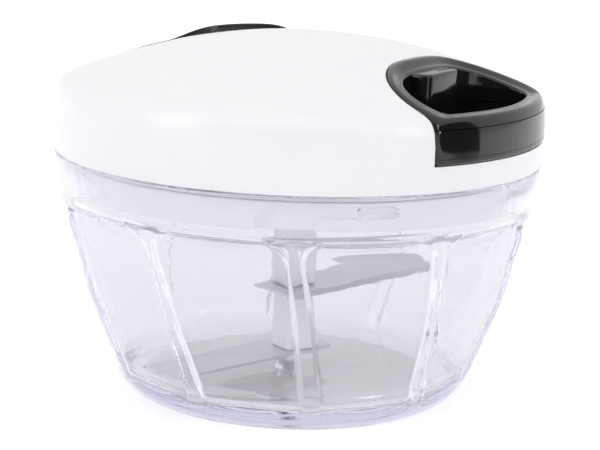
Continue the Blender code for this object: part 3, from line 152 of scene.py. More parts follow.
def mottle(tree, shader, pale, dark, grain, low, high):
    """Vary the colour between two near tones and the roughness between two values, by a soft noise."""
    where = add(tree, 'ShaderNodeTexCoord').outputs["Object"]
    cloud = add(tree, 'ShaderNodeTexNoise', {"Scale": 1 / grain, "Detail": 3.0, "Roughness": 0.55},
                {"Vector": where}).outputs["Fac"]
    tint(tree, shader, cloud, dark, pale, 0.35, 0.65)
    limits = {"From Min": 0.3, "From Max": 0.7, "To Min": low, "To Max": high}
    spread = add(tree, 'ShaderNodeMapRange', limits, {"Value": cloud})
    tree.links.new(spread.outputs["Result"], shader.inputs["Roughness"])
    return where


def relief(tree, shader, height, distance):
    """Bump from a height output, as deep as a distance in metres."""
    bump = add(tree, 'ShaderNodeBump', {"Strength": 1.0, "Distance": distance}, {"Height": height})
    tree.links.new(bump.outputs["Normal"], shader.inputs["Normal"])


TRAPPED_DEPTH = 4.5


def clear_san():
    """Styrene-acrylonitrile, moulded in a polished tool: clear, a little grey, lavender where it is thick."""
    made, tree, shader = surface("clear_san_moulded", {
        "Base Color": paint("#EFEFF2"), "IOR": 1.567, "Transmission Weight": 0.94, "Roughness": 0.02})
    where = add(tree, 'ShaderNodeTexCoord').outputs["Object"]
    # Flow marks of the melt, about 9 mm apart, only a few micrometres high
    flow = noise(tree, where, 0.009, 2.0)
    relief(tree, shader, flow, 0.00006)
    haze = add(tree, 'ShaderNodeMapRange', {"To Min": 0.01, "To Max": 0.05}, {"Value": flow})
    tree.links.new(haze.outputs["Result"], shader.inputs["Roughness"])
    # A few per cent are lost in a wall, and far more along an edge, least of all the blue
    depth = add(tree, 'ShaderNodeVolumeAbsorption', {"Color": paint("#9A95E2"), "Density": 5.0})
    tree.links.new(depth.outputs["Volume"], tree.nodes["Material Output"].inputs["Volume"])
    # Light that lamps and bounces send through it goes straight, and so does light that the wall has trapped
    rays = add(tree, 'ShaderNodeLightPath').outputs
    trapped = add(tree, 'ShaderNodeMath', {"operation": 'GREATER_THAN', 1: TRAPPED_DEPTH},
                  {0: rays["Ray Depth"]})
    straight = largest(tree, trapped.outputs[0], rays["Is Shadow Ray"], rays["Is Diffuse Ray"])
    through = add(tree, 'ShaderNodeBsdfTransparent', {"Color": paint("#FCFCFE")})
    mix = add(tree, 'ShaderNodeMixShader', None,
              {0: straight, 1: shader.outputs["BSDF"], 2: through.outputs["BSDF"]})
    tree.links.new(mix.outputs["Shader"], tree.nodes["Material Output"].inputs["Surface"])
    return made


def moulded(name, settings, pale, dark, cloud, low, high, grain, detail, height):
    """A moulded plastic: two near tones in soft clouds, and the fine relief of its tool."""
    made, tree, shader = surface(name, settings)
    where = mottle(tree, shader, pale, dark, cloud, low, high)
    relief(tree, shader, noise(tree, where, grain, detail), height)
    return made


def glossy_white():
    """White polypropylene: soft gloss over a barely seen orange peel, 1.1 mm across."""
    return moulded("white_polypropylene_moulded", {
        "IOR": 1.49, "Specular IOR Level": 0.5, "Subsurface Weight": 0.06,
        "Subsurface Radius": (0.004, 0.004, 0.005), "Subsurface Scale": 0.2},
        "#F6F6F9", "#F4F4F8", 0.012, 0.27, 0.33, 0.0011, 1.0, 0.000012)


def milky_white():
    """Natural polypropylene, uncoloured, lets a little light through: an eroded grain of 0.6 mm."""
    return moulded("natural_polypropylene_moulded", {
        "IOR": 1.49, "Subsurface Weight": 0.3, "Subsurface Radius": (0.005, 0.005, 0.006),
        "Subsurface Scale": 0.5},
        "#FCFCFE", "#FAFAFD", 0.008, 0.3, 0.4, 0.0006, 2.0, 0.00001)


def acetal(name, pale, dark):
    """Acetal for the wearing parts inside: waxy, with polish marks where it runs."""
    return moulded(name, {"IOR": 1.48}, pale, dark, 0.004, 0.3, 0.42, 0.0008, 2.0, 0.00001)


def piano_black():
    """Black ABS from a mirror-polished tool: deep gloss, with shallow ripples 14 mm long."""
    return moulded("black_abs_mirror_moulded", {"IOR": 1.52}, "#141416", "#0E0E10", 0.01, 0.05, 0.11,
                   0.014, 1.0, 0.00012)


def brushed_steel(name, tone, dark, along, pitch, low, high):
    """Steel with the lines of its finish running one way, a given pitch in metres apart."""
    made, tree, shader = surface(name, {"Metallic": 1.0, "Anisotropic": 0.3})
    where = add(tree, 'ShaderNodeTexCoord').outputs["Object"]
    stretch = (1 / (pitch * 40), 1 / pitch, 1 / pitch)
    lie = add(tree, 'ShaderNodeMapping', {"Rotation": (0, 0, -along), "Scale": stretch}, {"Vector": where})
    lines = noise(tree, lie.outputs["Vector"], 1.0, 3.0)
    tint(tree, shader, lines, dark, tone, 0.3, 0.7)
    spread = add(tree, 'ShaderNodeMapRange', {"To Min": low, "To Max": high}, {"Value": lines})
    tree.links.new(spread.outputs["Result"], shader.inputs["Roughness"])
    relief(tree, shader, lines, 0.000008)
    return made


def soft_rubber(name, pale, dark, low, high, grain):
    """Thermoplastic rubber: matt, with a fine eroded grain that grips."""
    made, tree, shader = surface(name, {"IOR": 1.5, "Subsurface Weight": 0.05, "Subsurface Scale": 0.1,
                                        "Subsurface Radius": (0.004, 0.002, 0.001)})
    where = mottle(tree, shader, pale, dark, 0.006, low, high)
    fine = add(tree, 'ShaderNodeTexVoronoi', {"Scale": 1 / grain}, {"Vector": where})
    relief(tree, shader, fine.outputs["Distance"], 0.00003)
    return made


def braided_nylon():
    """Braided polyamide cord: off-white yarns that cross every 0.5 mm, with a soft sheen, and painted shade
    in the grooves between them.
    """
    made, tree, shader = surface("nylon_cord_braided", {"Roughness": 0.7, "Sheen Weight": 0.35, "IOR": 1.53})
    where = add(tree, 'ShaderNodeTexCoord').outputs["Object"]
    waves = []
    for lean in (0.9, -0.9):
        lie = add(tree, 'ShaderNodeMapping', {"Rotation": (lean, 0, lean)}, {"Vector": where})
        waves.append(add(tree, 'ShaderNodeTexWave', {"Scale": 0.31 / 0.0005, "Distortion": 1.2},
                         {"Vector": lie.outputs["Vector"]}))
    cross = largest(tree, *[wave.outputs["Fac"] for wave in waves])
    # Painted shade: the colour goes darker where the braid's relief is low, in the grooves between the yarns
    tint(tree, shader, cross, "#B9B8B0", "#E8E7E0", 0, 1)
    relief(tree, shader, cross, 0.00012)
    return made


# Curves and outlines

def smooth(share):
    """Ease a share of 0 to 1 in and out."""
    share = min(max(share, 0), 1)
    return share * share * (3 - 2 * share)


def fair(points):
    """A function that reads a smooth curve, without overshoot, through points whose first values rise."""
    xs, ys = zip(*points)
    slopes = [(b - a) / (d - c) for a, b, c, d in zip(ys, ys[1:], xs, xs[1:])]
    lean = [slopes[0]]
    for before, after in zip(slopes, slopes[1:]):
        lean.append(0 if before * after <= 0 else 2 * before * after / (before + after))
    lean.append(slopes[-1])

    def read(x):
        k = 0
        while k < len(slopes) - 1 and x > xs[k + 1]:
            k += 1
        span = xs[k + 1] - xs[k]
        t = min(max((x - xs[k]) / span, 0), 1)
        a, b, c, d = (2 * t - 3) * t * t + 1, ((t - 2) * t + 1) * t, (3 - 2 * t) * t * t, (t - 1) * t * t
        return a * ys[k] + b * span * lean[k] + c * ys[k + 1] + d * span * lean[k + 1]
    return read


WALL = fair([(0.022, 0.669), (0.047, 0.697), (0.104, 0.738), (0.189, 0.777), (0.276, 0.811), (0.361, 0.845),
             (0.447, 0.878), (0.532, 0.902), (0.616, 0.923), (0.699, 0.948), (0.783, 0.966), (0.829, 0.978),
             (0.884, 0.991), (1.0, 1.0)])
DOME = fair([(0.0, 1.0), (0.234, 0.974), (0.469, 0.901), (0.703, 0.772), (0.859, 0.667), (0.9375, 0.606),
             (0.975, 0.558), (0.99375, 0.474), (1.0, 0.359)])


def bowl_radius(height):
    """Radius of the bowl's outer wall, on the ribs."""
    return RIM_RADIUS * WALL(height / BOWL_HEIGHT)


def dome_height(radius):
    """Height of the lid's outer surface at a radius."""
    return LID_LOW + LID_HEIGHT * DOME(radius / RIM_RADIUS)


def arc(centre, radius, start, end, steps):
    """Points on an arc of a circle, with both ends."""
    turn = [start + (end - start) * k / steps for k in range(steps + 1)]
    return [(centre[0] + radius * math.cos(a), centre[1] + radius * math.sin(a)) for a in turn]


def quarter(steps):
    """Angles through a quarter turn, with both ends."""
    return [math.pi / 2 * k / steps for k in range(steps + 1)]


def in_grip_frame(azimuth):
    """From a grip's own frame to the object's."""
    return Matrix.Rotation(azimuth - math.pi / 2, 4, 'Z')


def blunt(profile, radius, steps):
    """A turned profile with each corner rounded off, by at most the given radius."""
    made = []
    for k, point in enumerate(profile):
        here, before, after = (Vector(p) for p in (point, profile[k - 1], profile[(k + 1) % len(profile)]))
        if here.x < 1e-7:
            made.append(here)
            continue
        size = min(radius, (before - here).length * 0.45, (after - here).length * 0.45)
        a, b = here + (before - here).normalized() * size, here + (after - here).normalized() * size
        for j in range(steps + 1):
            t = j / steps
            made.append(a.lerp(here, t).lerp(here.lerp(b, t), t))
    return made


# Shaping

def whirl(made, chain, pairs, steps):
    """Spin a chain of vertices, joined in pairs, round Z into a closed skin."""
    edges = [made.edges.new(pair) for pair in pairs]
    bmesh.ops.spin(made, geom=chain + edges, cent=(0, 0, 0), axis=(0, 0, 1), angle=2 * math.pi, steps=steps,
                   use_merge=True, use_duplicate=False)
    bmesh.ops.remove_doubles(made, verts=made.verts, dist=1e-6)


def spun(profile, steps):
    """A body turned about Z, from a profile of (radius, height) that runs round its section."""
    made = bmesh.new()
    chain = [made.verts.new((x, 0, z)) for x, z in profile]
    ring = profile[0][0] > 1e-7 and profile[-1][0] > 1e-7
    pairs = list(zip(chain, chain[1:])) + ([(chain[-1], chain[0])] if ring else [])
    whirl(made, chain, pairs, steps)
    bmesh.ops.recalc_face_normals(made, faces=made.faces)
    return made


def grow_rows(made, row, edges, outlines):
    """Extrude a row of vertices on to the next outlines, and give back the last row."""
    for outline in outlines:
        grown = bmesh.ops.extrude_edge_only(made, edges=edges)["geom"]
        fresh = {tuple(v.co): v for v in grown if isinstance(v, bmesh.types.BMVert)}
        row = [fresh[tuple(v.co)] for v in row]
        edges = [e for e in grown if isinstance(e, bmesh.types.BMEdge)
                 and e.verts[0] in row and e.verts[1] in row]
        for vert, point in zip(row, outline):
            vert.co = point
    return row, edges


def stacked(outlines, hollow=False):
    """A closed skin through outlines with as many points each; a hollow one joins its last to its first."""
    made = bmesh.new()
    row = [made.verts.new(point) for point in outlines[0]]
    first = [made.edges.new(pair) for pair in zip(row, row[1:] + row[:1])]
    _, last = grow_rows(made, row, first, outlines[1:] + ([outlines[0]] if hollow else []))
    if hollow:
        bmesh.ops.remove_doubles(made, verts=made.verts, dist=1e-7)
    else:
        bmesh.ops.edgeloop_fill(made, edges=first)
        bmesh.ops.edgeloop_fill(made, edges=last)
    bmesh.ops.recalc_face_normals(made, faces=made.faces)
    return made


def prism(outline, low, high):
    """A flat outline raised between two levels."""
    made = bmesh.new()
    face = made.faces.new([made.verts.new((x, y, low)) for x, y in outline])
    top = bmesh.ops.extrude_face_region(made, geom=[face])["geom"]
    raised = [v for v in top if isinstance(v, bmesh.types.BMVert)]
    bmesh.ops.translate(made, verts=raised, vec=(0, 0, high - low))
    bmesh.ops.recalc_face_normals(made, faces=made.faces)
    return made


def soften(made, offset, angle, segments=2):
    """Round the edges that are sharper than an angle in degrees."""
    sharp = [e for e in made.edges if e.is_manifold and e.calc_face_angle() > math.radians(angle)]
    bevel(made, sharp, offset, segments, clamp_overlap=True)
    return made


def bevel(made, edges, offset, segments, **more):
    """Round these edges."""
    bmesh.ops.bevel(made, geom=edges, offset=offset, offset_type='OFFSET', segments=segments, profile=0.5,
                    affect='EDGES', material=-1, **more)


def cut_through(made, spot, normal, **more):
    """Cut every face that crosses a plane."""
    bmesh.ops.bisect_plane(made, geom=made.verts[:] + made.edges[:] + made.faces[:], dist=1e-7, plane_co=spot,
                           plane_no=normal, **more)


def tube(path, radius, sides=10, ring=False):
    """A round tube along points, closed at its ends, or joined into a ring."""
    rows, across = [], Vector((0, 0, 1))
    count = len(path)
    for k, here in enumerate(path):
        after = path[(k + 1) % count] if ring else path[min(k + 1, count - 1)]
        before = path[k - 1] if ring or k else path[0]
        ahead = (Vector(after) - Vector(before)).normalized()
        across = (across - ahead * across.dot(ahead)).normalized()
        other = ahead.cross(across)
        rows.append([Vector(here) + (across * math.cos(a) + other * math.sin(a)) * radius
                     for a in (2 * math.pi * j / sides for j in range(sides))])
    return stacked(rows, ring)


def solid(name, made, turn=None):
    """An object from a bmesh, with a turn laid into its mesh."""
    if turn is not None:
        bmesh.ops.transform(made, matrix=turn, verts=made.verts)
    mesh = bpy.data.meshes.new(name)
    made.to_mesh(mesh)
    made.free()
    obj = bpy.data.objects.new(name, mesh)
    scene.collection.objects.link(obj)
    return obj


def rod(radius, top, low, steps, lie=None, foot=None):
    """A round rod between two levels, straight or with another radius at its foot, as a tool for carving."""
    return solid("rod", spun([(0, top), (radius, top), (foot or radius, low), (0, low)], steps), lie)


def band(inner, outer, low, high):
    """A ring's profile, for spun."""
    return [(outer, high), (outer, low), (inner, low), (inner, high)]


def carve(obj, *tools, operation='DIFFERENCE'):
    """Cut each tool from a body, or join it on, and use the tools up."""
    for tool in tools:
        boolean = obj.modifiers.new("Carve", 'BOOLEAN')
        boolean.operation = operation
        boolean.solver = 'MANIFOLD'
        boolean.object = tool
        bpy.context.view_layer.update()
        graph = bpy.context.evaluated_depsgraph_get()
        shaped = bpy.data.meshes.new_from_object(obj.evaluated_get(graph))
        obj.modifiers.clear()
        obj.data = shaped
        bpy.data.objects.remove(tool, do_unlink=True)
    return obj


def dress(obj, material, body, *nodes, angle=32):
    """Finish a piece: its shading, its material, the body it rides on and the solids that it stands for."""
    for face in obj.data.polygons:
        face.use_smooth = True
    obj.data.set_sharp_from_angle(angle=math.radians(angle))
    obj.data.materials.clear()
    obj.data.materials.append(material)
    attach(obj, body)
    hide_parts(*nodes)
    return obj


def turned(name, profile, steps, material, body, node, lie=None):
    """A finished piece that is round about its own axis."""
    return dress(solid(name, spun(profile, steps), lie), material, body, node)


# Bowl

PANELS = 10
PANEL_PITCH = 2 * math.pi / PANELS
PANEL_PHASE = math.radians(-0.7)
PANEL_LEAN = math.radians(8)
PANEL_TOP = 0.0538
PANEL_FOOT = 0.0050
PANEL_SIDES = (0.0002, 0.0004, 0.0006, 0.0008, 0.0011, 0.0015, 0.0020, 0.0026, 0.0033, 0.0041, 0.0050, 0.0060,
               0.0070)
PANEL_MIDDLES = 14
PANEL_ARCH = 0.0070
PANEL_EDGE = 0.0014
PANEL_SINK = 0.0010
PANEL_BOW = 0.0018
PANEL_BOW_RISE = 0.0043
PANEL_FOOT_RISE = 0.0060
RIB_HALF = 0.0010
RIB_HALF_GROWTH = 0.0007
FOOT_RADIUS = 0.0415
FOOT_LOW = 0.0009
FOOT_RING = 0.0030
FLOOR_FILLET = 0.0045
LEDGE_TOP = 0.0555
RIM_EASE = 0.0004
HAIR = 0.0001
FINE_STEP = 0.0004
COARSE_STEP = 0.0014
INNER_STEP = 0.0016
RIM_HEIGHTS = (0.0641, 0.0630, 0.0610, 0.0595, 0.0582, 0.0575, 0.0571, 0.0567, 0.0562, 0.0555, 0.0546)
FOOT_HEIGHTS = (0.0105, 0.0095, 0.0085, 0.0075, 0.0065, 0.0055, 0.0045, 0.0035, 0.0027, 0.0021)
LEDGE_HEIGHTS = (0.0505, 0.0512, 0.0518, 0.0523, 0.0528, 0.0532, 0.0535, 0.0538)
FLOOR_RADII = (0, 0.012, 0.024, 0.034)
OUTER, INNER = 1, 2
LUG_HALF_LENGTH = 0.0051
LUG_HALF_HEIGHT = 0.00135
LUG_DEPTH = 0.0028
LUG_LOW = 0.0593
LUG_FACE = 0.0600
LUG_AZIMUTH = 18.5
BOSS_RADIUS = 0.0042
BOSS_LOW = 0.0045
BOSS_TOP = 0.0085
BORE_RADIUS = 0.0023


def down_panel(height):
    """The share of the way down a panel, from its top to its foot."""
    return min(max((PANEL_TOP - height) / (PANEL_TOP - PANEL_FOOT), 0), 1)


def rib_half(height):
    """Half a rib's width, which grows towards the foot."""
    return RIB_HALF + RIB_HALF_GROWTH * down_panel(height)


def panel_depth(offset, height, radius, outside):
    """How far a panel sinks into the outer wall, or presses into the inner one, off its middle."""
    half = radius * PANEL_PITCH / 2 - rib_half(height)
    side = half - radius * abs(offset)
    top = PANEL_TOP - height
    if top <= 0 or height <= PANEL_FOOT:
        return 0.0
    reach = top
    if outside:
        reach = min(side, top)
        if side < PANEL_ARCH and top < PANEL_ARCH:
            reach = PANEL_ARCH - math.hypot(PANEL_ARCH - side, PANEL_ARCH - top)
    if reach <= 0:
        return 0.0
    middle = max(1 - (radius * offset / half) ** 2, 0) * smooth(top / PANEL_BOW_RISE)
    rise = smooth((height - PANEL_FOOT) / PANEL_FOOT_RISE)
    return rise * smooth(reach / PANEL_EDGE) * (PANEL_SINK + PANEL_BOW * middle)


def panel_turns(height, radius):
    """The angles across one panel, from one rib's middle to the next, at which the wall has a point."""
    half = PANEL_PITCH / 2
    rib = rib_half(height) / radius
    left = [0, rib] + [rib + side / radius for side in PANEL_SIDES]
    span = 2 * half - 2 * left[-1]
    middle = [left[-1] + span * (k + 1) / (PANEL_MIDDLES + 1) for k in range(PANEL_MIDDLES)]
    return left + middle + [2 * half - place for place in left[:0:-1]]


def outer_section():
    """The bowl's outer side from the rim to the middle of the foot: radius, height and which wall it is."""
    tops = [PANEL_TOP - FINE_STEP * k for k in range(19)]
    walls = [tops[-1] - COARSE_STEP * (k + 1) for k in range(25)]
    heights = [*RIM_HEIGHTS, *tops, *walls, *FOOT_HEIGHTS]
    made = [(RIM_RADIUS - RIM_EASE, BOWL_HEIGHT, OUTER), (RIM_RADIUS - HAIR, BOWL_HEIGHT - HAIR, OUTER)]
    made += [(bowl_radius(z), z, OUTER) for z in heights]
    inner_foot = FOOT_RADIUS - FOOT_RING - 3 * HAIR
    foot = [(FOOT_RADIUS + 8 * HAIR, FOOT_LOW + 5 * HAIR), (FOOT_RADIUS + 3 * HAIR, FOOT_LOW + HAIR),
            (FOOT_RADIUS, FOOT_LOW), (FOOT_RADIUS - FOOT_RING, FOOT_LOW), (inner_foot, FOOT_LOW + 3 * HAIR),
            (inner_foot, FLOOR_LOW), (0, FLOOR_LOW)]
    return made + [(radius, z, 0) for radius, z in foot]


def inner_section():
    """The bowl's inner side from the middle of its floor to the rim, in the same form."""
    turn_in = bowl_radius(FLOOR_Z + FLOOR_FILLET) - BOWL_WALL - FLOOR_FILLET
    made = [(radius, FLOOR_Z, 0) for radius in FLOOR_RADII]
    made += [(turn_in + FLOOR_FILLET * math.sin(a), FLOOR_Z + FLOOR_FILLET * (1 - math.cos(a)), INNER)
             for a in quarter(7)[:-1]]
    heights = [FLOOR_Z + FLOOR_FILLET + INNER_STEP * k for k in range(25)]
    made += [(bowl_radius(z) - BOWL_WALL, z, INNER) for z in [*heights, *LEDGE_HEIGHTS]]
    made += [(RIM_INNER, LEDGE_TOP, INNER), (RIM_INNER, BOWL_HEIGHT - RIM_EASE, INNER)]
    return made + [(RIM_INNER + HAIR, BOWL_HEIGHT - HAIR, INNER), (RIM_INNER + RIM_EASE, BOWL_HEIGHT, INNER)]


def bowl_body():
    """The wall, floor and foot, spun from one section and then pressed into leaning panels."""
    places = len(panel_turns(BOWL_HEIGHT, RIM_RADIUS))
    steps = places * PANELS
    made = bmesh.new()
    kind = made.verts.layers.int.new("kind")
    chain = []
    for radius, height, label in inner_section() + outer_section():
        vert = made.verts.new((radius, 0, height))
        vert[kind] = label
        chain.append(vert)
    whirl(made, chain, zip(chain, chain[1:]), steps)
    turns = {}
    for vert in made.verts:
        height = vert.co.z
        radius = math.hypot(vert.co.x, vert.co.y)
        if radius < 1e-6:
            continue
        column = round(math.atan2(vert.co.y, vert.co.x) / (2 * math.pi) * steps) % steps
        panel, place = divmod(column, places)
        key = (round(height * 1e7), round(radius * 1e7))
        if key not in turns:
            turns[key] = panel_turns(height, radius if vert[kind] else RIM_RADIUS)
        across = turns[key][place]
        if vert[kind]:
            radius -= panel_depth(across - PANEL_PITCH / 2, height, radius, vert[kind] == OUTER)
        turn = PANEL_PHASE + panel * PANEL_PITCH + across + PANEL_LEAN * down_panel(height)
        vert.co = (radius * math.sin(turn), -radius * math.cos(turn), height)
    bmesh.ops.recalc_face_normals(made, faces=made.faces)
    return made


def lug(azimuth):
    """An oval bayonet lug that stands in from the rim."""
    end = LUG_HALF_HEIGHT
    reach = LUG_HALF_LENGTH - end
    oval = arc((reach, 0), end, -math.pi / 2, math.pi / 2, 10)
    oval += arc((-reach, 0), end, math.pi / 2, math.pi * 1.5, 10)
    made = soften(prism(oval, 0, LUG_DEPTH), 0.00025, 60)
    lie = Matrix.Rotation(azimuth, 4, 'Z') @ Matrix.Translation((0, -LUG_FACE, LUG_LOW + end))
    return solid("lug", made, lie @ Matrix.Rotation(math.pi / 2, 4, 'X'))


def make_bowl(material):
    """The clear bowl with its boss and its three lugs."""
    bowl = solid("bowl_clear", bowl_body())
    boss = [(0, BOSS_LOW), (BOSS_RADIUS, BOSS_LOW), (BOSS_RADIUS, BOSS_TOP - 5 * HAIR),
            (BOSS_RADIUS - 2 * HAIR, BOSS_TOP - HAIR), (BOSS_RADIUS - 6 * HAIR, BOSS_TOP), (0, BOSS_TOP)]
    lugs = [lug(math.radians(LUG_AZIMUTH + 120 * k)) for k in range(3)]
    carve(bowl, solid("boss", spun(boss, 48)), *lugs, operation='UNION')
    carve(bowl, rod(BORE_RADIUS, BOSS_TOP + 0.0035, BOSS_LOW - HAIR, 32))
    dress(bowl, material, "bowl", "bowl", angle=38)


# Hub, blades, pin and pad

HUB_NECK = (0.0068, 0.0007)
HUB_LOWER = (0.0082, 0.0010)
HUB_SLOT = 0.0007
BLADE_BACK = 0.0054
BLADE_EDGE = 0.0120
BLADE_BACK_SLOPE = 0.222
BLADE_EDGE_SLOPE = 0.255
BLADE_CORNER = 0.0030
BLADE_THICKNESS = 0.0008
BLADE_GRIND = 0.0021
BLADE_HOLE = 0.0074
UPPER_BLADE = 0.0290
LOWER_BLADE = 0.0115
PIN_RADIUS = 0.0020
PAD_RADIUS = 0.0378
PAD_TOP = 0.0030
PAD_DISH = 0.0004


def rounded_square(width, corner, height):
    """A square outline with round corners, at a height."""
    half = width / 2 - corner
    points = []
    for k, (x, y) in enumerate(((half, half), (-half, half), (-half, -half), (half, -half))):
        points += arc((x, y), corner, k * math.pi / 2, (k + 1) * math.pi / 2, 4)
    return [(x, y, height) for x, y in points]


def make_hub(material):
    """The square blade shaft: two drafted sections, necked where the blades sit, its ends chamfered."""
    rows = [(*HUB_NECK, 0.0089), (0.0080, 0.0009, 0.0091), (*HUB_LOWER, 0.0095)]
    for blade, below, above in ((LOWER_BLADE, HUB_LOWER, HUB_LOWER),
                                (UPPER_BLADE, (0.0081, 0.0010), (0.0090, 0.0010))):
        low, high = blade - HUB_SLOT, blade + HUB_SLOT
        rows += [(*below, low), (*HUB_NECK, low), (*HUB_NECK, high), (*above, high)]
    rows += [(0.0092, 0.0011, 0.0300), (0.0091, 0.0011, 0.0560), (0.0090, 0.0011, 0.0636),
             (0.0088, 0.0010, 0.0643), (0.0080, 0.0009, 0.0646)]
    skin = stacked([rounded_square(*row) for row in rows])
    hub = solid("blade_shaft_hub", skin, in_grip_frame(HUB_AZIMUTH))
    carve(hub, rod(BORE_RADIUS, 0.0243, 0.0050, 32))
    dress(hub, material, "blades", "blade_shaft")


def blade_body(height, reach):
    """A blade stamped from sheet, its leading edge ground to a slope from above."""
    def meets(offset, slope):
        a = 1 + slope * slope
        b = offset * slope
        return (-b + math.sqrt(b * b - a * (offset * offset - reach * reach))) / a

    back, edge, rise, run = BLADE_BACK, BLADE_EDGE, BLADE_BACK_SLOPE, BLADE_EDGE_SLOPE
    back_end, tip = meets(back, rise), meets(-edge, run)
    start, end = math.atan2(back + rise * back_end, back_end), math.atan2(run * tip - edge, tip)
    corner = BLADE_CORNER
    outer = [(reach * math.cos(a), reach * math.sin(a))
             for a in (start - corner / reach - (start - end - corner / reach) * k / 8 for k in range(9))]
    before = (back_end - corner, back + rise * (back_end - corner))
    peak = (back_end, back + rise * back_end)
    bend = [tuple(Vector(outer[0]).lerp(Vector(peak), t).lerp(Vector(peak).lerp(Vector(before), t), t))
            for t in (0.2, 0.4, 0.6, 0.8)]
    heel_back, heel_edge = 0.0105, 0.0080
    heel = [(-heel_back, back - rise * heel_back), (-heel_edge, -edge - run * heel_edge)]
    outline = [*heel, *outer[::-1], *bend, before]
    low = height - BLADE_THICKNESS / 2
    made = prism(outline, low, low + BLADE_THICKNESS)
    lean = Vector((-run, 1)).normalized() * BLADE_GRIND
    ground = [outline[1], outline[2]]
    for vert in made.verts:
        if vert.co.z > height and any(math.hypot(vert.co.x - x, vert.co.y - y) < 1e-6 for x, y in ground):
            vert.co.x += lean.x
            vert.co.y += lean.y
    return made


def make_blade(name, height, reach, azimuth, material, node):
    """A blade with the hub's square hole."""
    blade = solid(name, blade_body(height, reach), in_grip_frame(azimuth))
    square = [(x, y) for x, y, _ in rounded_square(BLADE_HOLE, 0.0007, 0)]
    carve(blade, solid("hole", prism(square, height - 0.003, height + 0.003), in_grip_frame(azimuth)))
    dress(blade, material, "blades", node, angle=20)


def make_pin_and_pad(steel, rubber):
    """The pivot pin with a domed tip, and the pad with soft edges and a shallow recess that grips."""
    pin = [(0, 0.0048), (PIN_RADIUS - 3 * HAIR, 0.0048), (PIN_RADIUS, 0.0051), (PIN_RADIUS, 0.0232),
           (PIN_RADIUS - 3 * HAIR, 0.0237), (PIN_RADIUS / 2, 0.0240), (0, 0.0240)]
    turned("pivot_pin_turned", pin, 40, steel, "bowl", "bowl_pivot_pin")
    edge, ring = PAD_RADIUS, PAD_RADIUS - 0.0060
    pad = [(0, PAD_TOP), (edge - 3 * HAIR, PAD_TOP), (edge, PAD_TOP - 3 * HAIR), (edge, 0.0012),
           (edge - 3 * HAIR, 0.0006), (edge - 8 * HAIR, 2 * HAIR), (edge - 14 * HAIR, 0), (ring, 0),
           (ring - PAD_DISH, PAD_DISH), (0.0120, PAD_DISH), (0.0120 - PAD_DISH, 0), (0, 0)]
    turned("pad_moulded", pad, 144, rubber, "bowl", "non_slip_base")


# Lid

GRIP_HALF = 0.0311
GRIP_NEAR = 0.0326
GRIP_CORNER = 0.0230
LOOP_HALF = 0.0236
LOOP_NEAR = 0.0370
LOOP_CORNER = 0.0140
FACE_RADIUS = 0.0644
LID_WALL = 0.0022
GRIP_END = 0.068
POCKET_PLAY = 0.0003
POCKET_GROWTH = 0.0028
POCKET_UNDER = 0.0689
ABOVE_ALL = 0.100
COVER_SCREW_REACH = 0.0480
COVER_SCREW_AZIMUTHS = (135, 285, 345)
GRIP_SCREW_U = 0.0490
GRIP_SCREW_V = 0.0271
SCREW_HOLE = 0.0016
SCREW_HEAD_HOLE = 0.0029


def at_cover_screw(azimuth):
    """The place of a screw that holds the inner cover."""
    return Matrix.Rotation(math.radians(azimuth), 4, 'Z') @ Matrix.Translation((0, -COVER_SCREW_REACH, 0))


def at_grip_screw(azimuth, side):
    """The place of a screw in the handle or in the rear grip."""
    return in_grip_frame(azimuth) @ Matrix.Translation((GRIP_SCREW_U, side * GRIP_SCREW_V, 0))


def screw_way(top, seat, low, lie):
    """A stepped hole for a screw driven from below, as a tool for carving."""
    way = [(0, top), (SCREW_HOLE, top), (SCREW_HOLE, seat), (SCREW_HEAD_HOLE, seat), (SCREW_HEAD_HOLE, low),
           (0, low)]
    return solid("screw_way", spun(way, 24), lie)


def along_cord():
    """From a body turned about Z to one about the cord, with its heights as reach from the axis."""
    return Matrix.Translation((0, 0, CORD_Z)) @ Matrix.Rotation(math.pi / 2, 4, 'Y')


def round_end(near, half, radius, steps):
    """The inner end of a grip's outline, from one flank to the other, with two round corners."""
    lower = arc((near + radius, radius - half), radius, math.pi * 1.5, math.pi, steps)
    return lower + arc((near + radius, half - radius), radius, math.pi, math.pi / 2, steps)


def pocket_outline(grow):
    """The grips' outline grown by some play, and running on past the lid's rim."""
    half = GRIP_HALF + grow
    return [(GRIP_END, -half), *round_end(GRIP_NEAR - grow, half, GRIP_CORNER + grow, 16), (GRIP_END, half)]


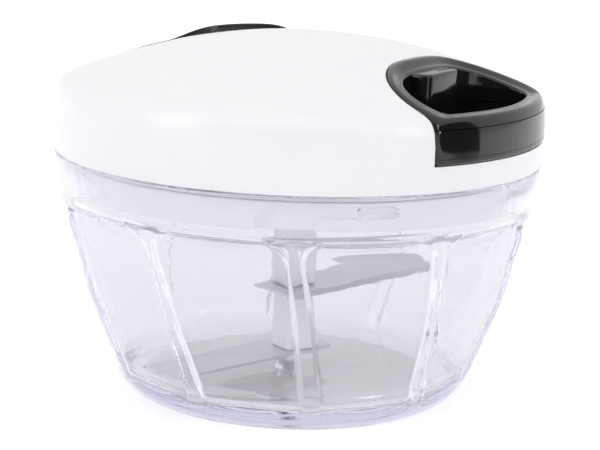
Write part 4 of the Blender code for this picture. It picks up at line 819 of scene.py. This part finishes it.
def make_lid_shell(material):
    """The domed shell, with the pockets of both grips and the bosses for its screws."""
    outer = [(share * RIM_RADIUS, dome_height(share * RIM_RADIUS)) for share in map(math.sin, quarter(60))]
    outer += [(RIM_RADIUS, z) for z in (0.0740, 0.0720, 0.0690, 0.0654)]
    outer += [(RIM_RADIUS - HAIR, 0.0650), (RIM_RADIUS - 5 * HAIR, LID_LOW), (RIM_RADIUS - LID_WALL, LID_LOW)]

    def under(depth):
        return [(share * (RIM_RADIUS - depth), dome_height(share * RIM_RADIUS) - depth)
                for share in map(math.sin, quarter(24))]

    shell = solid("lid_shell_dome", spun(outer + under(LID_WALL)[::-1], 360))
    half = LID_WALL / 2
    room = [*under(half), (RIM_RADIUS - half, 0.0670), (0, 0.0670)]
    for azimuth in (HANDLE_AZIMUTH, REAR_AZIMUTH):
        block = prism(pocket_outline(POCKET_GROWTH), POCKET_UNDER, ABOVE_ALL)
        body = solid("pocket_body", block, in_grip_frame(azimuth))
        carve(body, solid("room", spun(room, 120)), operation='INTERSECT')
        carve(shell, body, operation='UNION')
    for azimuth in COVER_SCREW_AZIMUTHS:
        lie, top = at_cover_screw(azimuth), dome_height(COVER_SCREW_REACH) - 0.0014
        carve(shell, rod(0.0036, top, 0.0683, 32, lie, 0.0034), operation='UNION')
        carve(shell, rod(SCREW_HOLE, 0.0780, 0.0640, 16, lie))
    carve(shell, rod(0.0048, 0.0949, 0.0880, 40, foot=0.0046), operation='UNION')
    carve(shell, rod(0.0028, 0.0923, 0.0860, 32))
    for azimuth in (HANDLE_AZIMUTH, REAR_AZIMUTH):
        room = prism(pocket_outline(POCKET_PLAY), POCKET_FLOOR, ABOVE_ALL)
        carve(shell, solid("pocket", room, in_grip_frame(azimuth)))
    carve(shell, rod(0.0026, 0.0278, 0.0342, 32, in_grip_frame(HANDLE_AZIMUTH) @ along_cord()))
    for side in (-1, 1):
        carve(shell, screw_way(0.0753, 0.0703, 0.0649, at_grip_screw(REAR_AZIMUTH, side)))
    dress(shell, material, "lid", "lid_shell", angle=28)


GROOVE_HALF_MOUTH = 0.0074
GROOVE_LOW = 0.0590
GROOVE_HIGH = 0.0623
GROOVE_TURN = 0.0020
GROOVE_AZIMUTH = -2.4
GROOVE_SWEEP = math.radians(20.9)
GROOVE_PLAY = 0.0005
WELL_RADIUS = 0.0272
GUARD_RADIUS = 0.0095
SEAL_INNER = 0.0596
SEAL_LOW = 0.0629
SEAL_HIGH = 0.0644


def groove_tool(index):
    """A cutter for one bayonet groove: a drawn mouth that sweeps up into a level slot."""
    half, low, high = GROOVE_HALF_MOUTH, GROOVE_LOW, GROOVE_HIGH
    end, turn = (high - low) / 2, GROOVE_TURN
    rise = high - SKIRT_LOW - turn / 2
    far = SKIRT_RADIUS * GROOVE_SWEEP + LUG_HALF_LENGTH + GROOVE_PLAY
    points = [(-half, SKIRT_LOW - 0.001)]
    points += [(half * (1 - math.cos(a)) - half, high - rise + rise * math.sin(a))
               for a in quarter(14)]
    points += arc((far - end, low + end), end, math.pi / 2, -math.pi / 2, 10)
    points += arc((half + turn, low - turn), turn, math.pi / 2, math.pi, 8)
    points.append((half, SKIRT_LOW - 0.001))
    made = prism(points, -0.0015, 0.0010)
    for k in range(1, 40):
        cut_through(made, ((far + half) * k / 40 - half, 0, 0), (1, 0, 0))
    for vert in made.verts:
        turn_at = math.radians(GROOVE_AZIMUTH + 120 * index) + vert.co.x / SKIRT_RADIUS
        radius = SKIRT_RADIUS + vert.co.z
        vert.co = (radius * math.sin(turn_at), -radius * math.cos(turn_at), vert.co.y)
    bmesh.ops.recalc_face_normals(made, faces=made.faces)
    return solid("groove", made)


def make_cover(material):
    """The inner cover: skirt with bayonet grooves and seal groove, plate, well and guard."""
    well, guard, top, plate, well_low, guard_low = WELL_RADIUS, GUARD_RADIUS, 0.0680, 0.0660, 0.0636, 0.0590
    skirt, bottom = SKIRT_RADIUS, SKIRT_LOW
    profile = [(skirt, top), (skirt, SEAL_HIGH), (SEAL_INNER, SEAL_HIGH), (SEAL_INNER, SEAL_LOW),
               (skirt, SEAL_LOW), (skirt, bottom), (SKIRT_INNER, bottom), (SKIRT_INNER, plate),
               (well + 0.0023, plate), (well + 0.0023, well_low), (guard + 0.0019, well_low),
               (guard + 0.0019, guard_low), (guard, guard_low), (guard, plate - HAIR), (well, plate - HAIR),
               (well, top)]
    cover = solid("inner_cover_skirt", spun(blunt(profile, 0.00035, 3), 300))
    for k in range(3):
        carve(cover, groove_tool(k))
    for azimuth in COVER_SCREW_AZIMUTHS:
        carve(cover, rod(SCREW_HOLE, 0.0720, 0.0600, 20, at_cover_screw(azimuth)))
    dress(cover, material, "lid", "lid_inner_cover")


def make_seal(material):
    """The sealing ring, which fills its groove and stands out to the rim."""
    play = 3 * HAIR
    section = band(SEAL_INNER + play, 0.0612, SEAL_LOW + play, SEAL_HIGH - play)
    turned("seal_moulded", blunt(section, 0.0004, 5), 240, material, "seal", "lid_seal")


# Grips

LOOP_FRONT_CORNER = 0.0030
LOOP_FRONT_BAR = 0.0054
FACE_EASE = 0.0016
GRIP_MIDDLE = 0.0480
GRIP_STATIONS = 300
GRIP_PROUD = 0.0003
FOOT_EASE = 0.0004
CREST_START = 0.033
CREST_LENGTH = 0.010
FLANK_SHARES = (0.35, 0.7)
TOP_SHARES = (0.08, 0.16, 0.26, 0.38, 0.5, 0.62, 0.74, 0.84, 0.92)
SINK_START = 0.12


def closed_outline(near, half, corner, steps, front, ease, face_steps):
    """A grip's closed outline: a round inner end, and eased corners into a front that is part of a circle."""
    side = math.sqrt((front - ease) ** 2 - (half - ease) ** 2)
    lean = math.atan2(half - ease, side)
    face = [lean * k / face_steps for k in range(face_steps - 1, -face_steps, -1)]
    return [*arc((side, ease - half), ease, -lean, -math.pi / 2, 6), *round_end(near, half, corner, steps),
            *arc((side, half - ease), ease, math.pi / 2, lean, 6),
            *[(front * math.cos(turn), front * math.sin(turn)) for turn in face]]


def loop_outline():
    """The finger loop's opening, without the cord's boss."""
    front = FACE_RADIUS - LOOP_FRONT_BAR
    return closed_outline(LOOP_NEAR, LOOP_HALF, LOOP_CORNER, 12, front, LOOP_FRONT_CORNER, 5)


def face_outline():
    """The grip's own outline."""
    return closed_outline(GRIP_NEAR, GRIP_HALF, GRIP_CORNER, 20, FACE_RADIUS, FACE_EASE, 10)


def from_middle(outline, directions):
    """Where rays from the grip's middle, in these directions, meet an outline."""
    found = []
    for turn in directions:
        ray = Vector((math.cos(turn), math.sin(turn)))
        best = None
        for a, b in zip(outline, outline[1:] + outline[:1]):
            ax, ay, bx, by = a[0] - GRIP_MIDDLE, a[1], b[0] - GRIP_MIDDLE, b[1]
            dx, dy = bx - ax, by - ay
            cross = ray.x * dy - ray.y * dx
            if abs(cross) < 1e-12:
                continue
            reach = (ax * dy - ay * dx) / cross
            share = (ax * ray.y - ay * ray.x) / cross
            if reach > 0 and -1e-9 <= share <= 1 + 1e-9 and (best is None or reach > best):
                best = reach
        found.append(Vector((GRIP_MIDDLE + ray.x * best, ray.y * best)))
    return found


def grip_rows(edge_round, lip_round, inner_low, crown, sink):
    """Rows of points up a grip's outer wall, over its top along the dome, and down inside its opening."""
    # The crown lifts the inner end above the dome, and the sink lets the top fall towards the opening
    directions = [2 * math.pi * k / GRIP_STATIONS for k in range(GRIP_STATIONS)]
    outer = from_middle(face_outline(), directions)
    inner = from_middle(loop_outline(), directions)

    def top(point):
        radius = min(point.length * RIM_RADIUS / FACE_RADIUS, RIM_RADIUS)
        off_crest = smooth((point.length - CREST_START) / CREST_LENGTH)
        return dome_height(radius) + GRIP_PROUD + crown * (1 - off_crest)

    def drop(gap, radius):
        return radius - math.sqrt(max(radius * radius - max(radius - gap, 0) ** 2, 0))

    def across(p, q, gap):
        return p + (q - p).normalized() * gap

    rows = [[(*across(p, q, FOOT_EASE), GRIP_FLOOR) for p, q in zip(outer, inner)]]
    rows += [[(*p, GRIP_FLOOR + rise) for p in outer] for rise in (FOOT_EASE, 0.0015)]
    rows += [[(*p, GRIP_FLOOR + (top(p) - edge_round - GRIP_FLOOR) * share) for p in outer]
             for share in FLANK_SHARES]
    eases = [1 - math.cos(a) for a in quarter(6)]
    for gap in (edge_round * ease for ease in eases):
        spots = [across(p, q, gap) for p, q in zip(outer, inner)]
        rows.append([(*here, top(here) - drop(gap, edge_round)) for here in spots])
    for share in TOP_SHARES:
        spots = [across(p, q, edge_round + ((q - p).length - edge_round - lip_round) * share)
                 for p, q in zip(outer, inner)]
        sunk = sink * smooth((share - SINK_START) / (1 - SINK_START))
        rows.append([(*here, top(here) - sunk) for here in spots])
    for gap in (lip_round * ease for ease in reversed(eases)):
        spots = [across(p, q, (q - p).length - gap) for p, q in zip(outer, inner)]
        rows.append([(*here, top(here) - sink - drop(gap, lip_round)) for here in spots])
    lips = [top(q) - sink - lip_round for q in inner]
    rows += [[(*q, lip - (lip - inner_low) * share) for q, lip in zip(inner, lips)]
             for share in (*FLANK_SHARES, 1.0)]
    return rows, outer, inner


def make_handle(material):
    """The pull handle: a rounded loop with the cord's boss, parted all round into two halves."""
    rows, outer, inner = grip_rows(0.0010, 0.0010, GRIP_FLOOR + FOOT_EASE, 0.0, 0.0014)
    rows.append([(*(q + (p - q).normalized() * FOOT_EASE), GRIP_FLOOR) for p, q in zip(outer, inner)])
    loop = solid("handle_loop", stacked(rows, True))
    boss_top, back, front, half = dome_height(0.042) - HAIR, 0.0350, 0.0420, 0.0090
    boss = prism([(back, -half), (front, -half), (front, half), (back, half)], GRIP_FLOOR, boss_top)
    upright = [e for e in boss.edges
               if abs(e.verts[0].co.z - e.verts[1].co.z) > 0.001 and e.verts[0].co.x > (back + front) / 2]
    bevel(boss, upright, 0.0028, 6)
    bevel(boss, [e for e in boss.edges if min(v.co.z for v in e.verts) > boss_top - 1e-6], 0.0008, 3)
    carve(loop, solid("cord_boss", boss), operation='UNION')
    carve(loop, rod(0.0013, 0.0306, 0.0376, 24, along_cord()),
          rod(0.0029, 0.0733, SPLIT_Z + 0.001, 24, Matrix.Translation((0.0375, 0, 0))))
    for part, above in (("upper", True), ("lower", False)):
        made = bmesh.new()
        made.from_mesh(loop.data)
        cut_through(made, (0, 0, SPLIT_Z + (HAIR if above else -HAIR)), (0, 0, 1),
                    clear_inner=above, clear_outer=not above)
        rim = [e for e in made.edges if e.is_boundary]
        bmesh.ops.triangle_fill(made, edges=rim, use_beauty=True, use_dissolve=False, normal=(0, 0, 1))
        bmesh.ops.recalc_face_normals(made, faces=made.faces)
        half = solid(f"handle_{part}_half", made, in_grip_frame(HANDLE_AZIMUTH))
        for side in (-1, 1):
            carve(half, screw_way(0.0841, 0.0737, 0.0700, at_grip_screw(HANDLE_AZIMUTH, side)))
        dress(half, material, "handle", f"handle_{part}", angle=35)
    bpy.data.objects.remove(loop, do_unlink=True)


def make_rear_grip(material):
    """The fixed grip behind: the handle's outer form with a dish in place of the opening."""
    dish_round, dish_top = 0.0010, 0.0815
    rows, outer, inner = grip_rows(0.0009, 0.0010, dish_top - 2 * HAIR, 0.0020, 0.0010)
    for turn in quarter(5)[1:]:
        rows.append([(*(q + (Vector((GRIP_MIDDLE, 0)) - q).normalized() * dish_round * (1 - math.cos(turn))),
                      dish_top - dish_round * math.sin(turn)) for q in inner])
    grip = solid("rear_grip_dish", stacked(rows), in_grip_frame(REAR_AZIMUTH))
    hollow = prism([(u * 0.93 + 0.0033, v * 0.94) for u, v in loop_outline()], 0.0690, 0.0780)
    carve(grip, solid("hollow", hollow, in_grip_frame(REAR_AZIMUTH)))
    for side in (-1, 1):
        carve(grip, rod(SCREW_HOLE, 0.0788, 0.0700, 20, at_grip_screw(REAR_AZIMUTH, side)))
    dress(grip, material, "lid", "rear_grip", angle=35)


# Small parts inside the lid

SCREW_RADIUS = 0.0013
SCREW_CORE = 0.0010
SCREW_HEAD = 0.0026
SCREW_PITCH = 0.0006
AXLE_RADIUS = 0.0025
AXLE_COLLAR = 0.0040
REEL_BORE = 0.0028
REEL_PLATE = 0.0012
PAWL_REACH = 0.0072
PAWL_TIP = 0.0093
PAWL_EYE = 0.0023
PAWL_SWEEP = math.radians(-38)
PAWL_TURNS = (math.radians(71), math.radians(251))
SPRING_STEPS = 160
SPRING_TURN = 32
SPRING_SHEET = 0.0005
TEETH = 12
TOOTH_SHARES = (0, 1 / 6, 1 / 3, 1 / 2, 2 / 3, 5 / 6)
TOOTH_END = 0.96
TOOTH_DEPTH = 0.0014
CORD_RADIUS = 0.0009


def make_screw(node, body, lie, low, height, top, material):
    """A pan-head screw, driven from below, with a straight slot and a thread of fine rings."""
    neck, crown, slot = low + height, SCREW_HEAD - HAIR, 0.0004
    profile = [(0, top), (0.0006, top), (0.0011, top - 0.0008)]
    z = top - 0.0010
    while z > neck + 0.0016:
        profile += [(SCREW_RADIUS, z), (SCREW_CORE, z - SCREW_PITCH / 2)]
        z -= SCREW_PITCH
    profile += [(SCREW_RADIUS, neck + 0.0008), (SCREW_RADIUS, neck), (crown, neck),
                (SCREW_HEAD, neck - 2 * HAIR), (crown, low + 4 * HAIR), (0.0021, low + HAIR), (0.0015, low),
                (0, low)]
    screw = solid(node + "_turned", spun(profile, 32), lie)
    flat = [(-0.0035, -slot), (0.0035, -slot), (0.0035, slot), (-0.0035, slot)]
    carve(screw, solid("slot", prism(flat, low - 0.001, low + 0.0007), lie))
    dress(screw, material, body, node)


def make_axle_and_clip(steel, spring_steel):
    """The fixed axle with its collar, and the clip in its end."""
    radius, ease, high, low = AXLE_RADIUS, 0.0003, 0.0920, 0.0650
    axle = [(0, high), (radius - ease, high), (radius, high - ease), (radius, 0.0877), (AXLE_COLLAR, 0.0877),
            (AXLE_COLLAR, 0.0810), (radius, 0.0810), (radius, low + ease), (radius - ease, low), (0, low)]
    turned("axle_turned", axle, 48, steel, "lid", "reel_axle")
    clip = blunt(band(0.0028, 0.0045, 0.0653, 0.0661), 0.0002, 3)
    turned("clip_stamped", clip, 48, spring_steel, "lid", "axle_clip")


def make_reel(white, black):
    """The cord's drum with the spring's cup above it, and the two pawls on posts below."""
    cup, flange, drum, collar, bore, wall = 0.0192, 0.0245, 0.0132, 0.0044, REEL_BORE, REEL_PLATE
    top, high, low, foot = 0.0875, 0.0807, 0.0717, 0.0685
    profile = [(cup, top), (cup, high), (flange, high), (flange, high - wall), (drum, high - wall),
               (drum, low + wall), (flange, low + wall), (flange, low), (collar, low), (collar, foot),
               (bore, foot), (bore, high), (cup - wall, high), (cup - wall, top)]
    reel = solid("reel_moulded", spun(blunt(profile, 0.0003, 3), 144))
    post = [(0, 0.0722), (0.0011, 0.0722), (0.0011, foot + HAIR), (0.0009, foot), (0, foot)]
    for turn in PAWL_TURNS:
        lie = Matrix.Rotation(turn, 4, 'Z') @ Matrix.Translation((0, -PAWL_REACH, 0))
        carve(reel, solid("post", spun(post, 20), lie), operation='UNION')
    dress(reel, white, "reel", "cord_reel")
    middle = (PAWL_REACH, 0)
    tip = Vector((PAWL_TIP * math.cos(PAWL_SWEEP) - PAWL_REACH, PAWL_TIP * math.sin(PAWL_SWEEP)))
    heading, lean = math.atan2(tip.y, tip.x), math.acos(PAWL_EYE / tip.length)
    outline = arc(middle, PAWL_EYE, heading + lean, heading + 2 * math.pi - lean, 20)
    outline.append((tip.x + PAWL_REACH, tip.y))
    hole = arc(middle, 0.0014, 0, 2 * math.pi * 23 / 24, 23)
    for index, turn in enumerate(PAWL_TURNS):
        lie = in_grip_frame(turn)
        pawl = solid(f"pawl_{index + 1}_moulded", soften(prism(outline, foot, 0.0712), 0.00015, 50), lie)
        carve(pawl, solid("eye", prism(hole, foot - 5 * HAIR, 0.0720), lie))
        dress(pawl, black, "reel", f"pawl_{index + 1}")


def make_spring(material):
    """The flat spiral spring that winds the cord in again."""
    first, last, low, high = 0.0043, 0.0171, 0.0812, 0.0870
    turns = [(2 * math.pi * k / SPRING_TURN, first + (last - first) * k / SPRING_STEPS)
             for k in range(SPRING_STEPS + 1)]
    rows = [[((r + grow) * math.cos(t), (r + grow) * math.sin(t), z) for t, r in turns]
            for grow, z in ((0, low), (SPRING_SHEET, low), (SPRING_SHEET, high), (0, high), (0, low))]
    made = bmesh.new()
    row = [made.verts.new(point) for point in rows[0]]
    edges = [made.edges.new(pair) for pair in zip(row, row[1:])]
    grow_rows(made, row, edges, rows[1:])
    bmesh.ops.remove_doubles(made, verts=made.verts, dist=1e-7)
    bmesh.ops.holes_fill(made, edges=[e for e in made.edges if e.is_boundary], sides=4)
    bmesh.ops.recalc_face_normals(made, faces=made.faces)
    dress(solid("spring_wound", made, in_grip_frame(math.pi / 2)), material, "lid", "rewind_spring")


def make_coupling(material):
    """The ratchet ring that the pawls drive, with the socket for the hub below."""
    ring, neck, ease, high, plate, low = 0.0130, 0.0090, 0.0002, 0.0713, 0.0664, 0.0570
    profile = [(0, high), (ring - ease, high), (ring, high - ease), (ring, plate + ease),
               (ring - ease, plate), (neck, plate), (neck, low + ease), (neck - ease, low), (0, low)]
    coupling = solid("coupling_moulded", spun(profile, 96))
    teeth, pitch = [], 2 * math.pi / TEETH
    for k in range(TEETH):
        for share in TOOTH_SHARES:
            teeth.append((0.0111 - TOOTH_DEPTH * min(share / TOOTH_END, 1), pitch * (k + share)))
        teeth.append((0.0111 - TOOTH_DEPTH, pitch * (k + TOOTH_END)))
    ratchet = prism([(r * math.cos(t), r * math.sin(t)) for r, t in teeth], 0.0680, 0.0750)
    socket = prism([(x, y) for x, y, _ in rounded_square(0.0100, 0.0006, 0)], 0.0530, plate)
    carve(coupling, solid("ratchet", ratchet, in_grip_frame(math.pi / 2)),
          solid("socket", socket, in_grip_frame(HUB_AZIMUTH)), rod(REEL_BORE, 0.0720, 0.0640, 32))
    dress(coupling, material, "drive", "drive_coupling")


def make_eyelet(material):
    """The flared guide in the lid through which the cord leaves."""
    tube_radius, flange, bore, outer, step, inner = 0.0023, 0.0036, 0.0013, 0.0319, 0.0295, 0.0287
    profile = [(tube_radius, outer), (tube_radius, step), (flange, step), (flange, inner), (bore, inner),
               (bore, outer)]
    turned("eyelet_flared", blunt(profile, 0.0003, 4), 48, material, "lid", "cord_eyelet",
           in_grip_frame(HANDLE_AZIMUTH) @ along_cord())


def make_cord(material):
    """The pull cord: two layers on the drum, the lead to the eyelet, the run to the handle, and its knot."""
    low, high, per_turn = 0.0742, 0.0782, 24
    path = [(0.0144, k, low + (high - low) * k / 63) for k in range(64)]
    path += [(0.0156, k + 67, high - (high - low) * k / 67) for k in range(68)]
    points = [Vector((r * math.cos(2 * math.pi * k / per_turn), r * math.sin(2 * math.pi * k / per_turn), z))
              for r, k, z in path]
    dress(solid("cord_on_reel", tube(points, CORD_RADIUS)), material, "reel", "cord_winding")
    lie = in_grip_frame(HANDLE_AZIMUTH)
    run, mouth, ease = 0.0177, 0.0269, 0.0027
    turn = math.acos(run / mouth)
    start, bend = Vector((run * math.cos(turn), run * math.sin(turn), CORD_Z)), Vector((mouth, 0, CORD_Z))
    end = Vector((0.0311, 0, CORD_Z))
    before = start + (bend - start) * (1 - ease / (bend - start).length)
    route = [start.lerp(before, k / 5) for k in range(5)]
    route += [before.lerp(bend, k / 8).lerp(bend.lerp(end, k / 8), k / 8) for k in range(9)]
    dress(solid("cord_lead", tube(route, CORD_RADIUS), lie), material, "lid", "pull_cord_lead")
    stub = [Vector((0.0314 + 0.0034 * k / 12, 0, CORD_Z)) for k in range(13)]
    run_out = solid("cord_run_out", tube(stub, CORD_RADIUS, 12), lie)
    for face in run_out.data.polygons:
        face.use_smooth = True
    run_out.data.materials.append(material)
    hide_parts("pull_cord")
    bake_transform(run_out)
    loop = []
    for t in (2 * math.pi * k / 60 for k in range(60)):
        knot = Vector((-math.sin(3 * t) * 0.9, math.sin(t) + 2 * math.sin(2 * t),
                       math.cos(t) - 2 * math.cos(2 * t)))
        loop.append(knot * 0.0005 + Vector((0.0375, 0, CORD_Z)))
    dress(solid("cord_end_knot", tube(loop, 0.00075, 10, True), lie), material, "handle", "cord_knot")


# Stage

def sheet(name, reach, material, lie=None):
    """A flat square of the stage, whose sides lie this far from its middle."""
    made = bmesh.new()
    bmesh.ops.create_grid(made, x_segments=1, y_segments=1, size=reach)
    card = solid(name, made, lie)
    card.data.materials.append(material)
    return card


def make_cards():
    """Two dark cards, behind the camera and to its right, that show only in gloss and clear plastic."""
    felt = surface("grey_felt_card", {
        "Base Color": paint("#5A5A5C"), "Roughness": 1.0, "Specular IOR Level": 0.0})[0]
    cards = (("card_behind", (0.0, -1.3, 0.45), 0, 1.6, 0.9),
             ("card_right", (0.42, -0.19, 0.16), math.pi / 2, 0.28, 0.3))
    for name, spot, turn, wide, tall in cards:
        lie = Matrix.Translation(spot) @ Matrix.Rotation(turn, 4, 'Z') @ Matrix.Rotation(math.pi / 2, 4, 'X')
        card = sheet(name, 0.5, felt, lie @ Matrix.Diagonal((wide, tall, 1, 1)))
        card.visible_camera = card.visible_diffuse = card.visible_shadow = False


def seen_rays(tree):
    """1 for a ray from the camera, through clear plastic or off gloss, else 0."""
    rays = add(tree, 'ShaderNodeLightPath').outputs
    return largest(tree, rays["Is Camera Ray"], rays["Is Transmission Ray"], rays["Is Glossy Ray"])


def make_floor():
    """A sweep of pale paper, 12 m wide."""
    paper, tree, shader = surface("white_paper_sweep", {
        "Base Color": paint("#F2F2F4"), "Roughness": 0.9, "Emission Color": (1, 1, 1, 1)})
    # The lamps reach less far than the paper, so it helps itself more with distance
    where = add(tree, 'ShaderNodeTexCoord').outputs["Object"]
    far = add(tree, 'ShaderNodeVectorMath', {"operation": 'LENGTH'}, {0: where})
    limits = {"From Min": 0.15, "From Max": 0.7, "To Min": 0.36, "To Max": 0.60}
    share = add(tree, 'ShaderNodeMapRange', limits, {"Value": far.outputs["Value"]})
    glow = add(tree, 'ShaderNodeMath', {"operation": 'MULTIPLY'},
               {0: seen_rays(tree), 1: share.outputs["Result"]})
    tree.links.new(glow.outputs[0], shader.inputs["Emission Strength"])
    sheet("floor", 6, paper)


def make_surround():
    """White all round, which lights the pieces a little less than it shows."""
    world = bpy.data.worlds.new("white_surround")
    scene.world = world
    world.use_nodes = True
    tree = world.node_tree
    strength = add(tree, 'ShaderNodeMapRange', {"To Min": 0.79, "To Max": 1.0}, {"Value": seen_rays(tree)})
    back = tree.nodes["Background"]
    back.inputs["Color"].default_value = (1, 1, 1, 1)
    tree.links.new(strength.outputs["Result"], back.inputs["Strength"])


def make_lamps():
    """Large soft lamps above, to the left and to the right."""
    lamps = (("soft_box_above", (-0.15, -0.10, 1.05), (0, 0, 0.05), 1.1, 0.9, 0.6),
             ("soft_box_left", (-1.00, -0.55, 0.55), (0, 0, 0.05), 0.3, 0.9, 2.6),
             ("soft_box_right", (0.95, -0.70, 0.50), (0, 0, 0.06), 0.16, 0.6, 2.2))
    for name, spot, target, wide, tall, power in lamps:
        data = bpy.data.lights.new(name, 'AREA')
        data.shape, data.size, data.size_y, data.energy = 'RECTANGLE', wide, tall, power
        lamp = bpy.data.objects.new(name, data)
        lamp.location = spot
        lamp.rotation_mode = 'QUATERNION'
        lamp.rotation_quaternion = (Vector(target) - Vector(spot)).to_track_quat('-Z', 'Y')
        scene.collection.objects.link(lamp)


# Assembly

def assemble():
    """Make every piece, from the bowl up."""
    steel = brushed_steel("stainless_pin_ground", "#CFCFD3", "#BDBDC2", 0, 0.0003, 0.16, 0.28)
    spring_steel = brushed_steel("spring_steel_blued", "#8C9098", "#6F737C", 0, 0.0004, 0.25, 0.4)
    plated = brushed_steel("nickel_plated_brass", "#DAD8D2", "#CBC9C3", 0, 0.0005, 0.08, 0.16)
    screw_steel = brushed_steel("zinc_plated_steel", "#C3C6C9", "#AEB2B6", 0, 0.0004, 0.25, 0.38)
    along = HUB_AZIMUTH - math.pi / 2
    blade_steel = brushed_steel("stainless_blade_brushed", "#D6D6DE", "#CDCDD7", along, 0.00025, 0.24, 0.34)
    milky, black = milky_white(), piano_black()
    make_bowl(clear_san())
    make_hub(milky)
    make_blade("upper_blade_ground", UPPER_BLADE, 0.04654, HUB_AZIMUTH, blade_steel, "upper_blade")
    make_blade("lower_blade_ground", LOWER_BLADE, 0.04321, HUB_AZIMUTH + math.pi, blade_steel, "lower_blade")
    peach = soft_rubber("peach_thermoplastic_rubber", "#FAEFE6", "#F6E8DC", 0.5, 0.62, 0.0007)
    make_pin_and_pad(steel, peach)
    make_lid_shell(glossy_white())
    make_cover(milky)
    make_seal(soft_rubber("white_silicone_moulded", "#ECECEE", "#E5E5E8", 0.4, 0.55, 0.0009))
    make_handle(black)
    make_rear_grip(black)
    for index, azimuth in enumerate(COVER_SCREW_AZIMUTHS):
        lie = at_cover_screw(azimuth)
        make_screw(f"cover_screw_{index + 1}", "lid", lie, 0.0642, 0.0015, 0.0777, screw_steel)
    for index, side in enumerate((-1, 1)):
        lie = at_grip_screw(HANDLE_AZIMUTH, side)
        make_screw(f"handle_screw_{index + 1}", "handle", lie, 0.0719, 0.0015, 0.0838, screw_steel)
        lie = at_grip_screw(REAR_AZIMUTH, side)
        make_screw(f"rear_grip_screw_{index + 1}", "lid", lie, 0.0689, 0.0011, 0.0785, screw_steel)
    white = acetal("natural_acetal_moulded", "#ECEBE5", "#E4E3DC")
    make_axle_and_clip(steel, spring_steel)
    make_reel(white, acetal("black_acetal_moulded", "#1B1B1D", "#141416"))
    make_spring(spring_steel)
    make_coupling(white)
    make_eyelet(plated)
    make_cord(braided_nylon())


place_camera()
make_floor()
make_cards()
make_surround()
make_lamps()
assemble()
